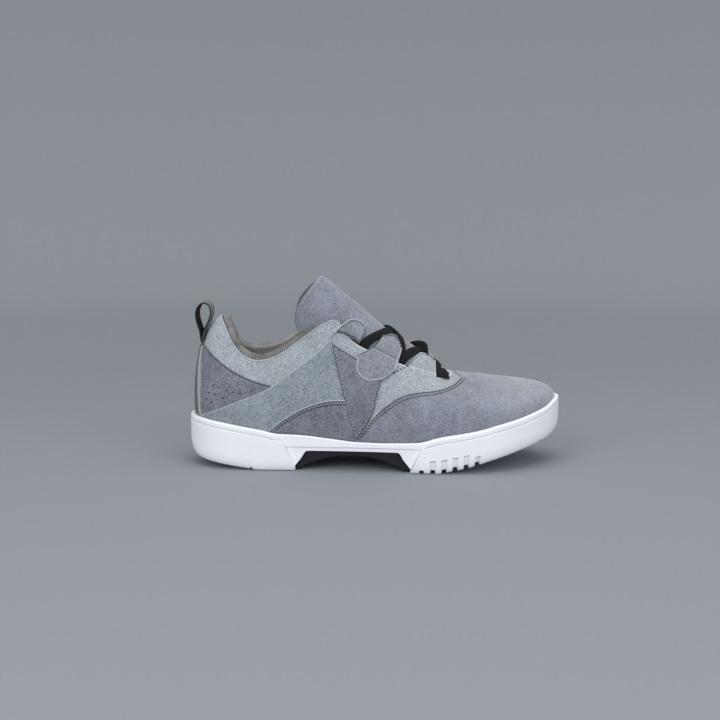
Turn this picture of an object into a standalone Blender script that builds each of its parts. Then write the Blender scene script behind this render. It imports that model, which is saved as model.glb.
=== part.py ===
import math

import bmesh
import bpy
import numpy as np

MM = 0.001
CENTRE_Y = 0.15

# Driving sizes in millimetres. +X is the toe, -Y the lateral side, +Z up.
LAST_LENGTH = 291.0
BALL_WIDTH = 98.0
HEEL_HEIGHT = 119.3
INSTEP_HEIGHT = 110.0
UPPER_WALL = 2.2
SEAM_GAP = 0.3
PANEL_THICKNESS = 1.2
PANEL_LIFT = 0.5
TAB_LIFT = 0.8
CUP_OUTSET = 5.0
BAND_OUTSET = 3.2
PLATE_OUTSET = -1.0
INSOLE_THICKNESS = 4.0
TAB_RUN = 100.0
TONGUE_THICKNESS = (4.0, 7.5)
RIM_ROUND = 0.05
LACE_WIDTH = 7.0
LACE_THICKNESS = 1.6
LOOP_WIDTH = 22.0
LOOP_WEB = 1.6
LUG_PITCH = 8.7
LUG_GAP = 3.5
LUG_DEPTH = 3.2
RECESS_WIDTH = 4.2
RECESS_HEIGHT = 6.8
RECESS_DEPTH = 1.0
FIRST_LUG_GAP = 35.2

# Plan of the last at the feather line, heel to toe.
# x share of the length, lateral and medial reach as shares of the ball width.
FEATHER = (
    (-0.5000, 0.000, 0.000),
    (-0.4790, 0.179, 0.179),
    (-0.4260, 0.296, 0.296),
    (-0.3470, 0.352, 0.347),
    (-0.2610, 0.367, 0.337),
    (-0.1720, 0.383, 0.316),
    (-0.0825, 0.403, 0.311),
    (0.0070, 0.434, 0.337),
    (0.0960, 0.474, 0.408),
    (0.1890, 0.500, 0.485),
    (0.2820, 0.474, 0.500),
    (0.3680, 0.388, 0.459),
    (0.4430, 0.235, 0.367),
    (0.4845, 0.082, 0.235),
    (0.5000, -0.082, 0.082),
)

# Collar edge, heel to the front corner.
# x share, reach share, lateral and medial height as shares of the heel height.
COLLAR = (
    (-0.4320, 0.000, 1.000, 1.000),
    (-0.4160, 0.158, 0.947, 0.930),
    (-0.3900, 0.255, 0.834, 0.785),
    (-0.3400, 0.311, 0.729, 0.740),
    (-0.2715, 0.337, 0.750, 0.765),
    (-0.1990, 0.337, 0.868, 0.876),
    (-0.1306, 0.327, 0.981, 0.981),
)

# Throat edge, front corner to the vamp.
# x share, reach share, lateral and medial height as shares of the instep height.
THROAT = (
    (-0.0687, 0.300, 0.938, 0.938),
    (0.0172, 0.287, 0.811, 0.813),
    (0.1100, 0.266, 0.707, 0.720),
    (0.1660, 0.216, 0.650, 0.688),
    (0.1860, 0.165, 0.645, 0.675),
    (0.2010, 0.112, 0.647, 0.667),
    (0.2085, 0.051, 0.655, 0.663),
    (0.2110, -0.010, 0.659, 0.659),
)

# Section of the upper at each station.
# lean out at the feather line and lean in at the top in degrees,
# fullness of the foot and of the top as shares of the chord,
# padding and roll of the collar lining as shares of their full size.
SECTION = (
    (2.0, 60.0, 0.40, 0.22, 1.00, 1.00),
    (3.0, 43.0, 0.40, 0.27, 1.00, 1.05),
    (4.0, 18.0, 0.40, 0.33, 1.00, 1.05),
    (5.0, 10.0, 0.38, 0.33, 1.00, 1.00),
    (4.0, 8.0, 0.36, 0.33, 0.95, 0.90),
    (3.0, 8.0, 0.34, 0.33, 0.62, 0.55),
    (2.0, 14.0, 0.34, 0.33, 0.36, 0.25),
    (1.0, 26.0, 0.34, 0.34, 0.30, 0.20),
    (1.0, 35.0, 0.36, 0.34, 0.30, 0.20),
    (2.0, 41.0, 0.38, 0.35, 0.30, 0.20),
    (3.0, 51.0, 0.38, 0.37, 0.30, 0.20),
    (3.0, 63.0, 0.285, 0.455, 0.30, 0.20),
    (2.0, 74.0, 0.206, 0.535, 0.30, 0.20),
    (1.0, 79.0, 0.139, 0.590, 0.30, 0.20),
    (0.0, 82.0, 0.158, 0.605, 0.30, 0.20),
)

# Sole in side view: x, height of the lip that holds the upper.
LIP = (
    (-152, 40.6), (-131, 38.6), (-106, 34.9), (-89, 31.9), (-79, 29.4), (-60, 28.6), (-36, 26.0),
    (-16, 23.7), (3, 23.2), (20, 23.7), (35, 24.5), (43, 27.1), (50, 29.0), (64, 31.3), (80, 33.9),
    (95, 37.5), (112, 41.1), (129, 45.6), (136, 47.8), (143, 51.2), (152, 54.2),
)

# Sole in side view: x, height of the footbed.
FOOTBED = (
    (-152, 27.0), (-110, 25.0), (-80, 22.5), (-50, 20.0), (-20, 18.6), (10, 18.2), (40, 18.2),
    (60, 19.0), (80, 21.8), (100, 26.8), (120, 32.4), (140, 38.6), (152, 42.0),
)

# Sole in side view: x, height of the tread.
TREAD = (
    (-152, 15.0), (-147, 9.8), (-141, 7.0), (-125, 4.3), (-104, 1.6), (-91, 0.0), (-60, 0.0), (25, 0.0),
    (47, 0.0), (59, 2.2), (68, 3.9), (76, 5.8), (88, 9.2), (104, 13.4), (120, 17.7), (134, 21.4),
    (145, 25.8), (152, 30.5),
)

# Ring profile of the cups: outset from the feather line, level it is measured from, rise.
CUP_RINGS = (
    (1.2, "tread", 0.0),
    (3.6, "tread", 1.8),
    (CUP_OUTSET, "tread", 7.0),
    (CUP_OUTSET, "lip", -5.2),
    (CUP_OUTSET - 0.8, "lip", -4.8),
    (CUP_OUTSET - 0.1, "lip", -4.3),
    (CUP_OUTSET - 0.3, "lip", -0.9),
    (CUP_OUTSET - 1.2, "lip", 0.0),
    (SEAM_GAP, "lip", -0.2),
    (SEAM_GAP, "footbed", 0.0),
)

# Ring profile of the midsole band.
BAND_RINGS = (
    (BAND_OUTSET - 0.9, "floor", -3.0),
    (BAND_OUTSET - 0.9, "floor", 18.6),
    (BAND_OUTSET, "floor", 19.2),
    (BAND_OUTSET, "lip", -0.9),
    (BAND_OUTSET - 0.9, "lip", 0.0),
    (SEAM_GAP, "lip", -0.2),
    (SEAM_GAP, "footbed", 0.0),
)

PLATE_RINGS = (
    (PLATE_OUTSET, "floor", -3.0),
    (PLATE_OUTSET, "floor", 15.9),
)

INSOLE_INSET = UPPER_WALL + SEAM_GAP + 0.3
INSOLE_RINGS = (
    (-INSOLE_INSET, "footbed", SEAM_GAP),
    (-INSOLE_INSET, "footbed", SEAM_GAP + INSOLE_THICKNESS - 1.0),
    (-INSOLE_INSET - 1.0, "footbed", SEAM_GAP + INSOLE_THICKNESS),
)

# Side-view cuts between the sole pieces: x, z along each joint.
HEEL_JOINT = ((-63.7, -6.0), (-63.7, 1.3), (-72.6, 17.3), (-76.2, 22.9), (-82.0, 28.8), (-89.0, 32.6))
FORE_JOINT = ((26.2, -6.0), (26.4, 0.9), (36.3, 20.9), (38.6, 23.9), (43.4, 27.2), (50.0, 30.0))
JOINT_GAP = 0.4
PLATE_TOP = 15.9
PLATE_LEVEL = 1.0
PLATE_FEET = (-60.5, 22.0)
PLATE_ARCH = 10.8

# Edges of the panels in side view, ruled between the two edges row by row.
# one edge x, z then the other edge x, z; heights marked lip stand over the lip.
QUARTER = (
    (-134.5, "lip", -134.0, 42.8),
    (-116.0, "lip", -115.6, 52.4),
    (-97.0, "lip", -97.0, 60.0),
    (-80.5, "lip", -80.8, 66.2),
    (-63.0, "lip", -66.5, 76.6),
    (-46.0, "lip", -53.5, 86.6),
    (-31.0, "lip", -43.0, 96.0),
    (-19.6, "lip", -37.0, 105.5),
)
COUNTER = (
    (-136.6, 42.9, -136.4, 96.0),
    (-128.0, 47.3, -128.2, 84.8),
    (-112.0, 54.9, -112.0, 76.0),
    (-97.0, 60.8, -97.0, 70.2),
    (-83.5, 66.0, -83.0, 67.6),
)
MUDGUARD = (
    (-84.0, "lip", -83.8, 32.6),
    (-72.0, "lip", -72.0, 41.5),
    (-58.0, "lip", -58.5, 49.5),
    (-44.0, "lip", -45.5, 54.6),
    (-32.0, "lip", -36.0, 56.8),
    (-21.0, "lip", -27.6, 57.2),
)
SIDE_STAY = (
    (-34.8, 100.0, -17.2, 89.2),
    (-32.8, 89.6, -17.0, 79.8),
    (-31.0, 80.4, -12.0, 71.6),
    (-29.0, 71.4, -3.0, 69.2),
    (-27.9, 66.2, 4.0, 68.8),
    (-25.9, 57.0, 1.2, 57.4),
    (-23.9, 48.0, -2.4, 44.6),
    (-21.6, 40.0, -6.6, 36.6),
    (-17.0, 27.0, -13.6, 27.8),
)
LACE_TABS = (
    (
        (-31.0, 107.6, -30.4, 108.9),
        (-26.0, 105.6, -24.6, 115.6),
        (-20.5, 103.6, -17.6, 118.4),
        (-15.5, 101.8, -11.6, 115.6),
        (-11.4, 100.2, -8.2, 111.4),
    ),
    (
        (-15.4, 87.0, -14.4, 92.4),
        (-15.6, 79.2, -7.6, 95.6),
        (-10.6, 72.8, -1.0, 99.8),
        (-2.2, 71.2, 4.2, 106.4),
        (7.0, 72.6, 11.0, 108.6),
        (16.6, 78.4, 18.4, 104.0),
        (19.6, 84.0, 22.4, 97.4),
    ),
    (
        (27.4, 83.6, 27.8, 85.4),
        (33.6, 81.6, 31.6, 89.4),
        (40.2, 79.4, 37.0, 92.4),
        (46.6, 76.8, 43.6, 90.0),
        (50.6, 74.8, 49.0, 85.0),
    ),
)
VAMP_EDGE = (
    (-11.6, 29.0), (-3.9, 38.6), (1.0, 44.0), (6.0, 48.4), (13.5, 54.0), (21.7, 58.2), (30.0, 60.5),
    (42.3, 61.8), (56.0, 63.8), (63.0, 66.6), (67.0, 68.4),
)
VAMP_TOP = 0.900
BACKSTAY = ((0.03, 1.00), (0.28, 0.80), (0.48, 0.60), (0.61, 0.50))

# Section of the collar lining: height on the upper, rise over the edge, depth in from the wall.
LINING = (
    (0.56, 0.0, 0.0),
    (0.76, 0.0, 0.0),
    (0.97, 0.0, 0.0),
    (1.00, 3.2, 0.6),
    (1.00, 5.4, 2.0),
    (1.00, 6.0, 3.8),
    (1.00, 4.8, 6.0),
    (1.00, 2.0, 7.3),
    (0.93, 0.0, 7.4),
    (0.80, 0.0, 6.2),
    (0.68, 0.0, 4.2),
    (0.57, 0.0, 2.2),
)
LINING_END = 5.85

# Tongue stations from under the vamp to the rim.
# ridge x and z, half width, drop of the side, sweep of the section in degrees.
TONGUE = (
    (74.0, 65.8, 17.0, 6.0, 66.0),
    (59.0, 70.6, 22.0, 17.0, 68.0),
    (48.0, 81.6, 25.0, 29.0, 70.0),
    (30.0, 95.2, 27.4, 37.0, 73.0),
    (9.3, 108.3, 27.6, 40.0, 75.0),
    (-10.0, 125.0, 24.6, 40.0, 78.0),
    (-31.0, 142.3, 23.6, 38.0, 84.0),
    (-42.4, 151.4, 25.6, 37.0, 88.0),
)

# Lace bars over the tongue: station and sweep share at one end, then at the other.
LACE_BARS = (
    (4.42, -0.50, 3.15, 0.45),
    (3.15, -0.45, 4.42, 0.50),
    (3.15, -0.45, 1.80, 0.40),
    (1.80, -0.40, 3.15, 0.45),
    (1.80, -0.40, 1.80, 0.40),
)

# Pull loop in side view, its middle line from the base up the back and down the front.
PULL_LOOP = (
    (-140.3, 99.6), (-141.2, 106.0), (-142.6, 112.0), (-143.9, 118.0), (-143.6, 123.4), (-141.2, 128.0),
    (-137.2, 129.9), (-133.5, 127.6), (-132.2, 122.6), (-133.2, 117.4), (-135.6, 112.2), (-138.2, 105.2),
)

COLOURS = {
    "upper": (0.50, 0.51, 0.48, 1.0),
    "vamp": (0.13, 0.14, 0.15, 1.0),
    "counter": (0.14, 0.15, 0.16, 1.0),
    "quarter": (0.38, 0.40, 0.37, 1.0),
    "mudguard": (0.15, 0.16, 0.17, 1.0),
    "side_stay": (0.16, 0.17, 0.18, 1.0),
    "lace_tab": (0.42, 0.43, 0.42, 1.0),
    "backstay": (0.28, 0.30, 0.27, 1.0),
    "pull_loop": (0.20, 0.20, 0.21, 1.0),
    "tongue": (0.10, 0.11, 0.12, 1.0),
    "collar_lining": (0.24, 0.22, 0.20, 1.0),
    "insole": (0.16, 0.16, 0.16, 1.0),
    "laces": (0.02, 0.02, 0.02, 1.0),
    "heel_cup": (0.85, 0.85, 0.84, 1.0),
    "forefoot_cup": (0.85, 0.85, 0.84, 1.0),
    "midsole": (0.86, 0.86, 0.85, 1.0),
    "grind_plate": (0.02, 0.02, 0.022, 1.0),
}

STATIONS = len(FEATHER) - 1
LOOP = 2 * STATIONS


def clear_scene():
    for item in list(bpy.data.objects):
        bpy.data.objects.remove(item, do_unlink=True)
    for group in list(bpy.data.collections):
        bpy.data.collections.remove(group)


def smooth_line(rows):
    """Return a monotone cubic through rows of (x, value)."""
    table = np.array(rows, dtype=float)
    xs = table[:, 0]
    ys = table[:, 1]
    steps = np.diff(ys) / np.diff(xs)
    slopes = np.zeros_like(ys)
    product = steps[:-1] * steps[1:]
    safe = np.where(product > 0, steps[:-1] + steps[1:], 1.0)
    slopes[1:-1] = np.where(product > 0, 2.0 * product / safe, 0.0)
    slopes[0] = steps[0]
    slopes[-1] = steps[-1]

    def value(x):
        x = np.clip(x, xs[0], xs[-1])
        i = np.clip(np.searchsorted(xs, x) - 1, 0, len(xs) - 2)
        width = xs[i + 1] - xs[i]
        t = (x - xs[i]) / width
        rise = ys[i] * (1 + 2 * t) * (1 - t) ** 2 + ys[i + 1] * t * t * (3 - 2 * t)
        lean = slopes[i] * t * (1 - t) ** 2 - slopes[i + 1] * t * t * (1 - t)
        return rise + lean * width

    return value


def closed_spline(rows):
    """Return a closed cubic spline through rows, one row per unit of the loop."""
    table = np.array(rows, dtype=float)
    count = len(table)
    matrix = 4.0 * np.eye(count) + np.roll(np.eye(count), 1, axis=0) + np.roll(np.eye(count), -1, axis=0)
    turn = np.roll(table, -1, axis=0) - 2.0 * table + np.roll(table, 1, axis=0)
    bend = np.linalg.solve(matrix, 6.0 * turn)

    def value(u):
        base = np.floor(u)
        i = base.astype(int) % count
        j = (i + 1) % count
        f = (u - base)[..., None]
        g = 1.0 - f
        return table[i] * g + table[j] * f + ((g ** 3 - g) * bend[i] + (f ** 3 - f) * bend[j]) / 6.0

    return value


def open_spline(rows):
    """Return a smooth curve through rows, with the row number as its parameter."""
    table = np.array(rows, dtype=float)
    lines = [smooth_line(np.column_stack((np.arange(len(table)), column))) for column in table.T]

    def value(s):
        return np.stack([line(s) for line in lines], axis=-1)

    return value


lip_height = smooth_line(LIP)
footbed_height = smooth_line(FOOTBED)
tread_height = smooth_line(TREAD)


def last_rows():
    """Join the station tables into one loop: heel, lateral side, toe, medial side."""
    lateral = []
    medial = []
    for k in range(STATIONS + 1):
        x, lateral_reach, medial_reach = FEATHER[k]
        if k < len(COLLAR):
            top_x, reach, lateral_top, medial_top = COLLAR[k]
            height = HEEL_HEIGHT
        else:
            top_x, reach, lateral_top, medial_top = THROAT[k - len(COLLAR)]
            height = INSTEP_HEIGHT
        medial_side = -1.0 if k == STATIONS else 1.0
        foot_x = x * LAST_LENGTH
        edge_x = top_x * LAST_LENGTH
        edge_y = reach * BALL_WIDTH
        foot = (foot_x, -lateral_reach * BALL_WIDTH)
        edge = (edge_x, -edge_y, lateral_top * height)
        lateral.append(foot + edge + SECTION[k])
        foot = (foot_x, medial_reach * BALL_WIDTH)
        edge = (edge_x, medial_side * edge_y, medial_top * height)
        medial.append(foot + edge + SECTION[k])
    return lateral + medial[STATIONS - 1:0:-1]


last_section = closed_spline(last_rows())


def plan_frame(u):
    """Return the feather point and its outward plan normal."""
    here = last_section(u)
    ahead = last_section(u + 0.01)
    behind = last_section(u - 0.01)
    run = ahead[..., :2] - behind[..., :2]
    length = np.linalg.norm(run, axis=-1)
    normal = np.stack((run[..., 1] / length, -run[..., 0] / length), axis=-1)
    return here, normal


def upper_point(u, h):
    """Point on the outside of the upper.

    u runs round the last; h from the footbed (-1) by the lip (0) to the top edge (1),
    then straight in over the throat.
    """
    u, h = np.broadcast_arrays(np.asarray(u, dtype=float), np.asarray(h, dtype=float))
    row, normal = plan_frame(u)
    x, y, top_x, top_y, top_z, lean_out, lean_in, low, high = np.moveaxis(row[..., :9], -1, 0)
    lip = lip_height(x)
    foot = np.stack((x, y, lip), axis=-1)
    top = np.stack((top_x, top_y, top_z), axis=-1)
    chord = np.linalg.norm(top - foot, axis=-1)
    inward = top[..., :2] - foot[..., :2]
    inward = inward / np.linalg.norm(inward, axis=-1)[..., None]
    lean_out = np.radians(lean_out)
    lean_in = np.radians(lean_in)
    start = np.concatenate((normal * np.sin(lean_out)[..., None], np.cos(lean_out)[..., None]), axis=-1)
    end = np.concatenate((inward * np.sin(lean_in)[..., None], np.cos(lean_in)[..., None]), axis=-1)
    second = foot + start * (chord * low)[..., None]
    third = top - end * (chord * high)[..., None]
    t = np.clip(h, 0.0, 1.0)[..., None]
    r = 1.0 - t
    point = foot * r ** 3 + 3.0 * second * r * r * t + 3.0 * third * r * t * t + top * t ** 3
    beyond = np.stack((np.zeros_like(x), -np.sign(top_y) * np.sin(lean_in), np.cos(lean_in)), axis=-1)
    point = point + beyond * (TAB_RUN * np.maximum(h - 1.0, 0.0))[..., None]
    drop = np.minimum(h, 0.0) * (lip - footbed_height(x) - SEAM_GAP)
    point[..., 2] += drop
    return point


def upper_normal(u, h):
    """Outward normal of the upper."""
    along = upper_point(np.asarray(u) + 0.02, h) - upper_point(np.asarray(u) - 0.02, h)
    up = upper_point(u, np.asarray(h) + 0.01) - upper_point(u, np.asarray(h) - 0.01)
    normal = np.cross(along, up)
    return normal / np.linalg.norm(normal, axis=-1)[..., None]


def upper_offset(u, h, distance):
    return upper_point(u, h) + upper_normal(u, h) * distance


def locate(x, z, side):
    """Find u and h of points given in side view, on the lateral (-1) or medial (+1) side."""
    x = np.asarray(x, dtype=float)
    z = np.asarray(z, dtype=float)
    span_u = np.linspace(0.4, STATIONS - 0.6, 80)
    span_h = np.linspace(0.0, 1.25, 40)
    seeds_u, seeds_h = np.meshgrid(span_u, span_h, indexing="ij")
    if side > 0:
        seeds_u = LOOP - seeds_u
    seeds = upper_point(seeds_u, seeds_h).reshape(-1, 3)
    miss = (seeds[:, 0] - x.reshape(-1, 1)) ** 2 + (seeds[:, 2] - z.reshape(-1, 1)) ** 2
    best = np.argmin(miss, axis=1)
    u = seeds_u.reshape(-1)[best].reshape(x.shape)
    h = seeds_h.reshape(-1)[best].reshape(x.shape)
    for _ in range(20):
        here = upper_point(u, h)
        by_u = (upper_point(u + 0.01, h) - here) / 0.01
        by_h = (upper_point(u, h + 0.01) - here) / 0.01
        miss_x = x - here[..., 0]
        miss_z = z - here[..., 2]
        det = by_u[..., 0] * by_h[..., 2] - by_u[..., 2] * by_h[..., 0]
        step_u = (miss_x * by_h[..., 2] - miss_z * by_h[..., 0]) / det
        step_h = (by_u[..., 0] * miss_z - by_u[..., 2] * miss_x) / det
        u = u + np.clip(step_u, -0.3, 0.3)
        h = h + np.clip(step_h, -0.1, 0.1)
    return u, h


def add_object(name, vertices, faces, group, colour=None):
    """Make a closed mesh object with outward faces; vertices come in millimetres."""
    mesh = bpy.data.meshes.new(name)
    work = bmesh.new()
    places = (np.asarray(vertices, dtype=float) - (0.0, CENTRE_Y, 0.0)) * MM
    points = [work.verts.new(place) for place in places.tolist()]
    for face in faces:
        work.faces.new([points[i] for i in face])
    bmesh.ops.recalc_face_normals(work, faces=work.faces)
    work.to_mesh(mesh)
    work.free()
    item = bpy.data.objects.new(name, mesh)
    group.objects.link(item)
    if colour:
        material = bpy.data.materials.new(name)
        material.use_nodes = True
        shader = material.node_tree.nodes["Principled BSDF"]
        shader.inputs["Base Color"].default_value = COLOURS[colour]
        shader.inputs["Roughness"].default_value = 0.8
        mesh.materials.append(material)
    return item


def sheet_solid(name, outer, inner, group, colour, ring=False):
    """Close two equal grids of points into one solid; ring joins the last row to the first."""
    rows, columns = outer.shape[:2]
    vertices = np.concatenate((outer.reshape(-1, 3), inner.reshape(-1, 3)))
    back = rows * columns
    faces = []
    spans = rows if ring else rows - 1
    for i in range(spans):
        k = (i + 1) % rows
        for j in range(columns - 1):
            a, b, c, d = i * columns + j, k * columns + j, k * columns + j + 1, i * columns + j + 1
            if np.linalg.norm(vertices[a] - vertices[c]) > np.linalg.norm(vertices[b] - vertices[d]):
                a, b, c, d = b, c, d, a
            faces += [(a, b, c), (a, c, d)]
            faces += [(back + a, back + c, back + b), (back + a, back + d, back + c)]
        for j in (0, columns - 1):
            a, b = i * columns + j, k * columns + j
            faces.append((a, back + a, back + b, b))
    if not ring:
        for i in (0, rows - 1):
            for j in range(columns - 1):
                a, b = i * columns + j, i * columns + j + 1
                faces.append((a, back + a, back + b, b))
    return add_object(name, vertices, faces, group, colour)


def tube_solid(name, rings, group, colour, closed=False):
    """Close a row of equal point rings into one solid; closed joins the ends."""
    count, sides = rings.shape[:2]
    faces = []
    for i in range(count if closed else count - 1):
        k = (i + 1) % count
        for j in range(sides):
            m = (j + 1) % sides
            faces.append((i * sides + j, k * sides + j, k * sides + m, i * sides + m))
    if not closed:
        faces.append(tuple(range(sides)))
        faces.append(tuple((count - 1) * sides + j for j in range(sides)))
    return add_object(name, rings.reshape(-1, 3), faces, group, colour)


def round_samples():
    """Loop samples, closer at the heel and the toe; sample i and its opposite share a station."""
    half = np.concatenate((
        np.linspace(0.0, 3.0, 8, endpoint=False),
        np.linspace(3.0, 10.0, 11, endpoint=False),
        np.linspace(10.0, STATIONS, 11, endpoint=False),
    ))
    return np.concatenate((half, [STATIONS], LOOP - half[:0:-1]))


def sole_form(name, profile, group, colour=None):
    """Stack outline rings into a solid and close its ends with rungs across the foot."""
    samples = round_samples()
    row, normal = plan_frame(samples)
    levels = {"tread": tread_height, "lip": lip_height, "footbed": footbed_height, "floor": lambda x: 0.0 * x}
    rings = []
    for outset, level, rise in profile:
        plan = row[:, :2] + normal * outset
        rings.append(np.column_stack((plan, levels[level](plan[:, 0]) + rise)))
    count = len(samples)
    faces = []
    for r in range(len(rings) - 1):
        for i in range(count):
            k = (i + 1) % count
            faces.append((r * count + i, r * count + k, (r + 1) * count + k, (r + 1) * count + i))
    for r in (0, len(rings) - 1):
        base = r * count
        for i in range(count // 2):
            left, ahead = (count - i) % count, count - i - 1
            corners = [base + i, base + i + 1, base + ahead, base + left]
            faces.append(tuple(dict.fromkeys(corners)))
    return add_object(name, np.concatenate(rings), faces, group, colour)


def side_prism(name, outline, group, reach=85.0):
    """Solid with a side-view outline, run across the shoe."""
    count = len(outline)
    near = [(x, -reach, z) for x, z in outline]
    far = [(x, reach, z) for x, z in outline]
    faces = [tuple(range(count)), tuple(range(2 * count - 1, count - 1, -1))]
    for i in range(count):
        k = (i + 1) % count
        faces.append((i, k, count + k, count + i))
    return add_object(name, near + far, faces, group)


def boolean(item, tool, operation):
    cut = item.modifiers.new(tool.name, "BOOLEAN")
    cut.operation = operation
    cut.solver = "EXACT"
    cut.object = tool
    tool.hide_render = True
    tool.display_type = "WIRE"


def shifted(line, step):
    return [(x + step, z) for x, z in line]


def build_upper(group):
    heights = np.array((-1.0, 0.0, 0.1, 0.22, 0.35, 0.48, 0.61, 0.74, 0.87, 1.0))
    u, h = np.meshgrid(round_samples(), heights, indexing="ij")
    sheet_solid("upper", upper_offset(u, h, 0.0), upper_offset(u, h, -UPPER_WALL), group, "upper", ring=True)


def panel_solid(name, u, h, level, group, colour, lift):
    low = level * (lift + PANEL_THICKNESS) - PANEL_THICKNESS
    sheet_solid(name, upper_offset(u, h, low + PANEL_THICKNESS), upper_offset(u, h, low), group, colour)


def ruled_panel(name, table, level, side, along, across, group, colour, lift=PANEL_LIFT):
    """Panel ruled between its two edges, laid on the upper of one side."""
    rows = []
    for x0, z0, x1, z1 in table:
        if z0 == "lip":
            z0 = float(lip_height(x0)) + 0.5 + 0.5 * level
        rows.append((x0, z0, x1, z1))
    edges = open_spline(rows)(np.linspace(0.0, len(rows) - 1.0, along))
    v = np.linspace(0.0, 1.0, across)[None, :]
    x = edges[:, 0:1] * (1.0 - v) + edges[:, 2:3] * v
    z = edges[:, 1:2] * (1.0 - v) + edges[:, 3:4] * v
    u, h = locate(x, z, side)
    panel_solid(name, u, h, level, group, colour, lift)


def build_vamp(group):
    """Toe panel, from the lip up to its stitched edge and the front of the throat."""
    edge_x, edge_z = np.array(VAMP_EDGE).T
    u_left, h_left = locate(edge_x, edge_z, -1)
    u_right, h_right = locate(edge_x, edge_z, 1)
    knots_u = np.concatenate((u_left, [12.0, STATIONS, LOOP - 12.0], u_right[::-1]))
    knots_h = np.concatenate((h_left, [VAMP_TOP] * 3, h_right[::-1]))
    top = smooth_line(np.column_stack((knots_u, knots_h)))
    samples = round_samples()
    inside = samples[(samples > u_left[0] + 0.2) & (samples < u_right[0] - 0.2)]
    columns = np.concatenate((u_left[:1], inside, u_right[:1]))
    between = 0.5 * (columns[1:] + columns[:-1])
    columns = np.sort(np.concatenate((columns, between[np.diff(columns) > 0.5])))
    row = last_section(columns)
    foot = np.column_stack((row[:, :2], lip_height(row[:, 0])))
    chord = np.linalg.norm(row[:, 2:5] - foot, axis=1)
    low = 1.0 / (3.0 * row[:, 7] * chord)
    v = np.linspace(0.0, 1.0, 8)[None, :] ** 1.4
    h = low[:, None] * (1.0 - v) + top(columns)[:, None] * v
    u = np.broadcast_to(columns[:, None], h.shape)
    panel_solid("vamp", u, h, 1, group, "vamp", 0.65)


def build_panels(group):
    for side, label in ((-1, "lateral"), (1, "medial")):
        ruled_panel("quarter_" + label, QUARTER, 1, side, 15, 7, group, "quarter")
        ruled_panel("counter_" + label, COUNTER, 1, side, 11, 6, group, "counter")
        ruled_panel("mudguard_" + label, MUDGUARD, 2, side, 10, 5, group, "mudguard")
        ruled_panel("side_stay_" + label, SIDE_STAY, 1, side, 13, 4, group, "side_stay")
        for index, table in enumerate(LACE_TABS):
            name = "lace_tab_%d_%s" % (index + 1, label)
            ruled_panel(name, table, 1, side, 7, 7, group, "lace_tab", TAB_LIFT)
    heights = np.linspace(BACKSTAY[0][0], BACKSTAY[-1][0], 6)
    reach = smooth_line(BACKSTAY)(heights)
    u = np.linspace(-1.0, 1.0, 7)[:, None] * reach[None, :]
    h = np.broadcast_to(heights[None, :], u.shape)
    panel_solid("backstay", u, h, 1, group, "backstay", PANEL_LIFT)


def build_lining(group):
    """Padded collar lining, a closed section swept round the collar from one front corner to the other."""
    samples = round_samples()
    samples = np.sort(np.where(samples > STATIONS, samples - LOOP, samples))
    inside = samples[np.abs(samples) < LINING_END - 0.2]
    samples = np.concatenate(([-LINING_END], inside, [LINING_END]))
    section = np.array(LINING)
    share = last_section(samples)
    pad = share[:, 9:10]
    roll = share[:, 10:11]
    u = np.broadcast_to(samples[:, None], (len(samples), len(section)))
    h = np.broadcast_to(section[None, :, 0], u.shape)
    edge = upper_point(u, np.ones_like(u)) - upper_point(u, np.full_like(u, 0.98))
    edge = edge / np.linalg.norm(edge, axis=-1)[..., None]
    depth = UPPER_WALL + 2.0 * SEAM_GAP + section[None, :, 2] * pad
    rise = section[None, :, 1] * roll
    points = upper_offset(u, h, -depth[..., None]) + edge * rise[..., None]
    tube_solid("collar_lining", points, group, "collar_lining")


tongue_row = open_spline(TONGUE)


def tongue_point(s, w):
    """Point on the outside of the tongue: s runs from the vamp to the rim, w from side to side."""
    s, w = np.broadcast_arrays(np.asarray(s, dtype=float), np.asarray(w, dtype=float))
    x, z, half, drop, sweep = np.moveaxis(tongue_row(s), -1, 0)
    run = tongue_row(s + 0.05)[..., :2] - tongue_row(s - 0.05)[..., :2]
    run = run / np.linalg.norm(run, axis=-1)[..., None]
    angle = np.radians(sweep) * w
    fall = drop * (1.0 - np.cos(angle))
    return np.stack((x - run[..., 1] * fall, half * np.sin(angle), z + run[..., 0] * fall), axis=-1)


def tongue_normal(s, w):
    last = len(TONGUE) - 1.0
    up = tongue_point(np.minimum(s + 0.05, last), w) - tongue_point(np.maximum(s - 0.05, 0.0), w)
    across = tongue_point(s, w + 0.02) - tongue_point(s, w - 0.02)
    normal = np.cross(across, up)
    return normal / np.linalg.norm(normal, axis=-1)[..., None]


def build_tongue(group):
    last = len(TONGUE) - 1.0
    s, w = np.meshgrid(np.linspace(0.0, last, 14), np.linspace(-1.0, 1.0, 11), indexing="ij")
    s = s * (1.0 - RIM_ROUND * np.abs(w) ** 5)
    front, rim = TONGUE_THICKNESS
    thick = front + (rim - front) * (s / last) ** 0.7
    near_rim = np.clip((s / last - 0.9) / 0.1, 0.0, 1.0)
    thick = thick * (1.0 - 0.45 * np.abs(w) ** 4) * (1.0 - 0.35 * near_rim ** 2)
    outer = tongue_point(s, w)
    inner = outer - tongue_normal(s, w) * thick[..., None]
    sheet_solid("tongue", outer, inner, group, "tongue")


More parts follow.
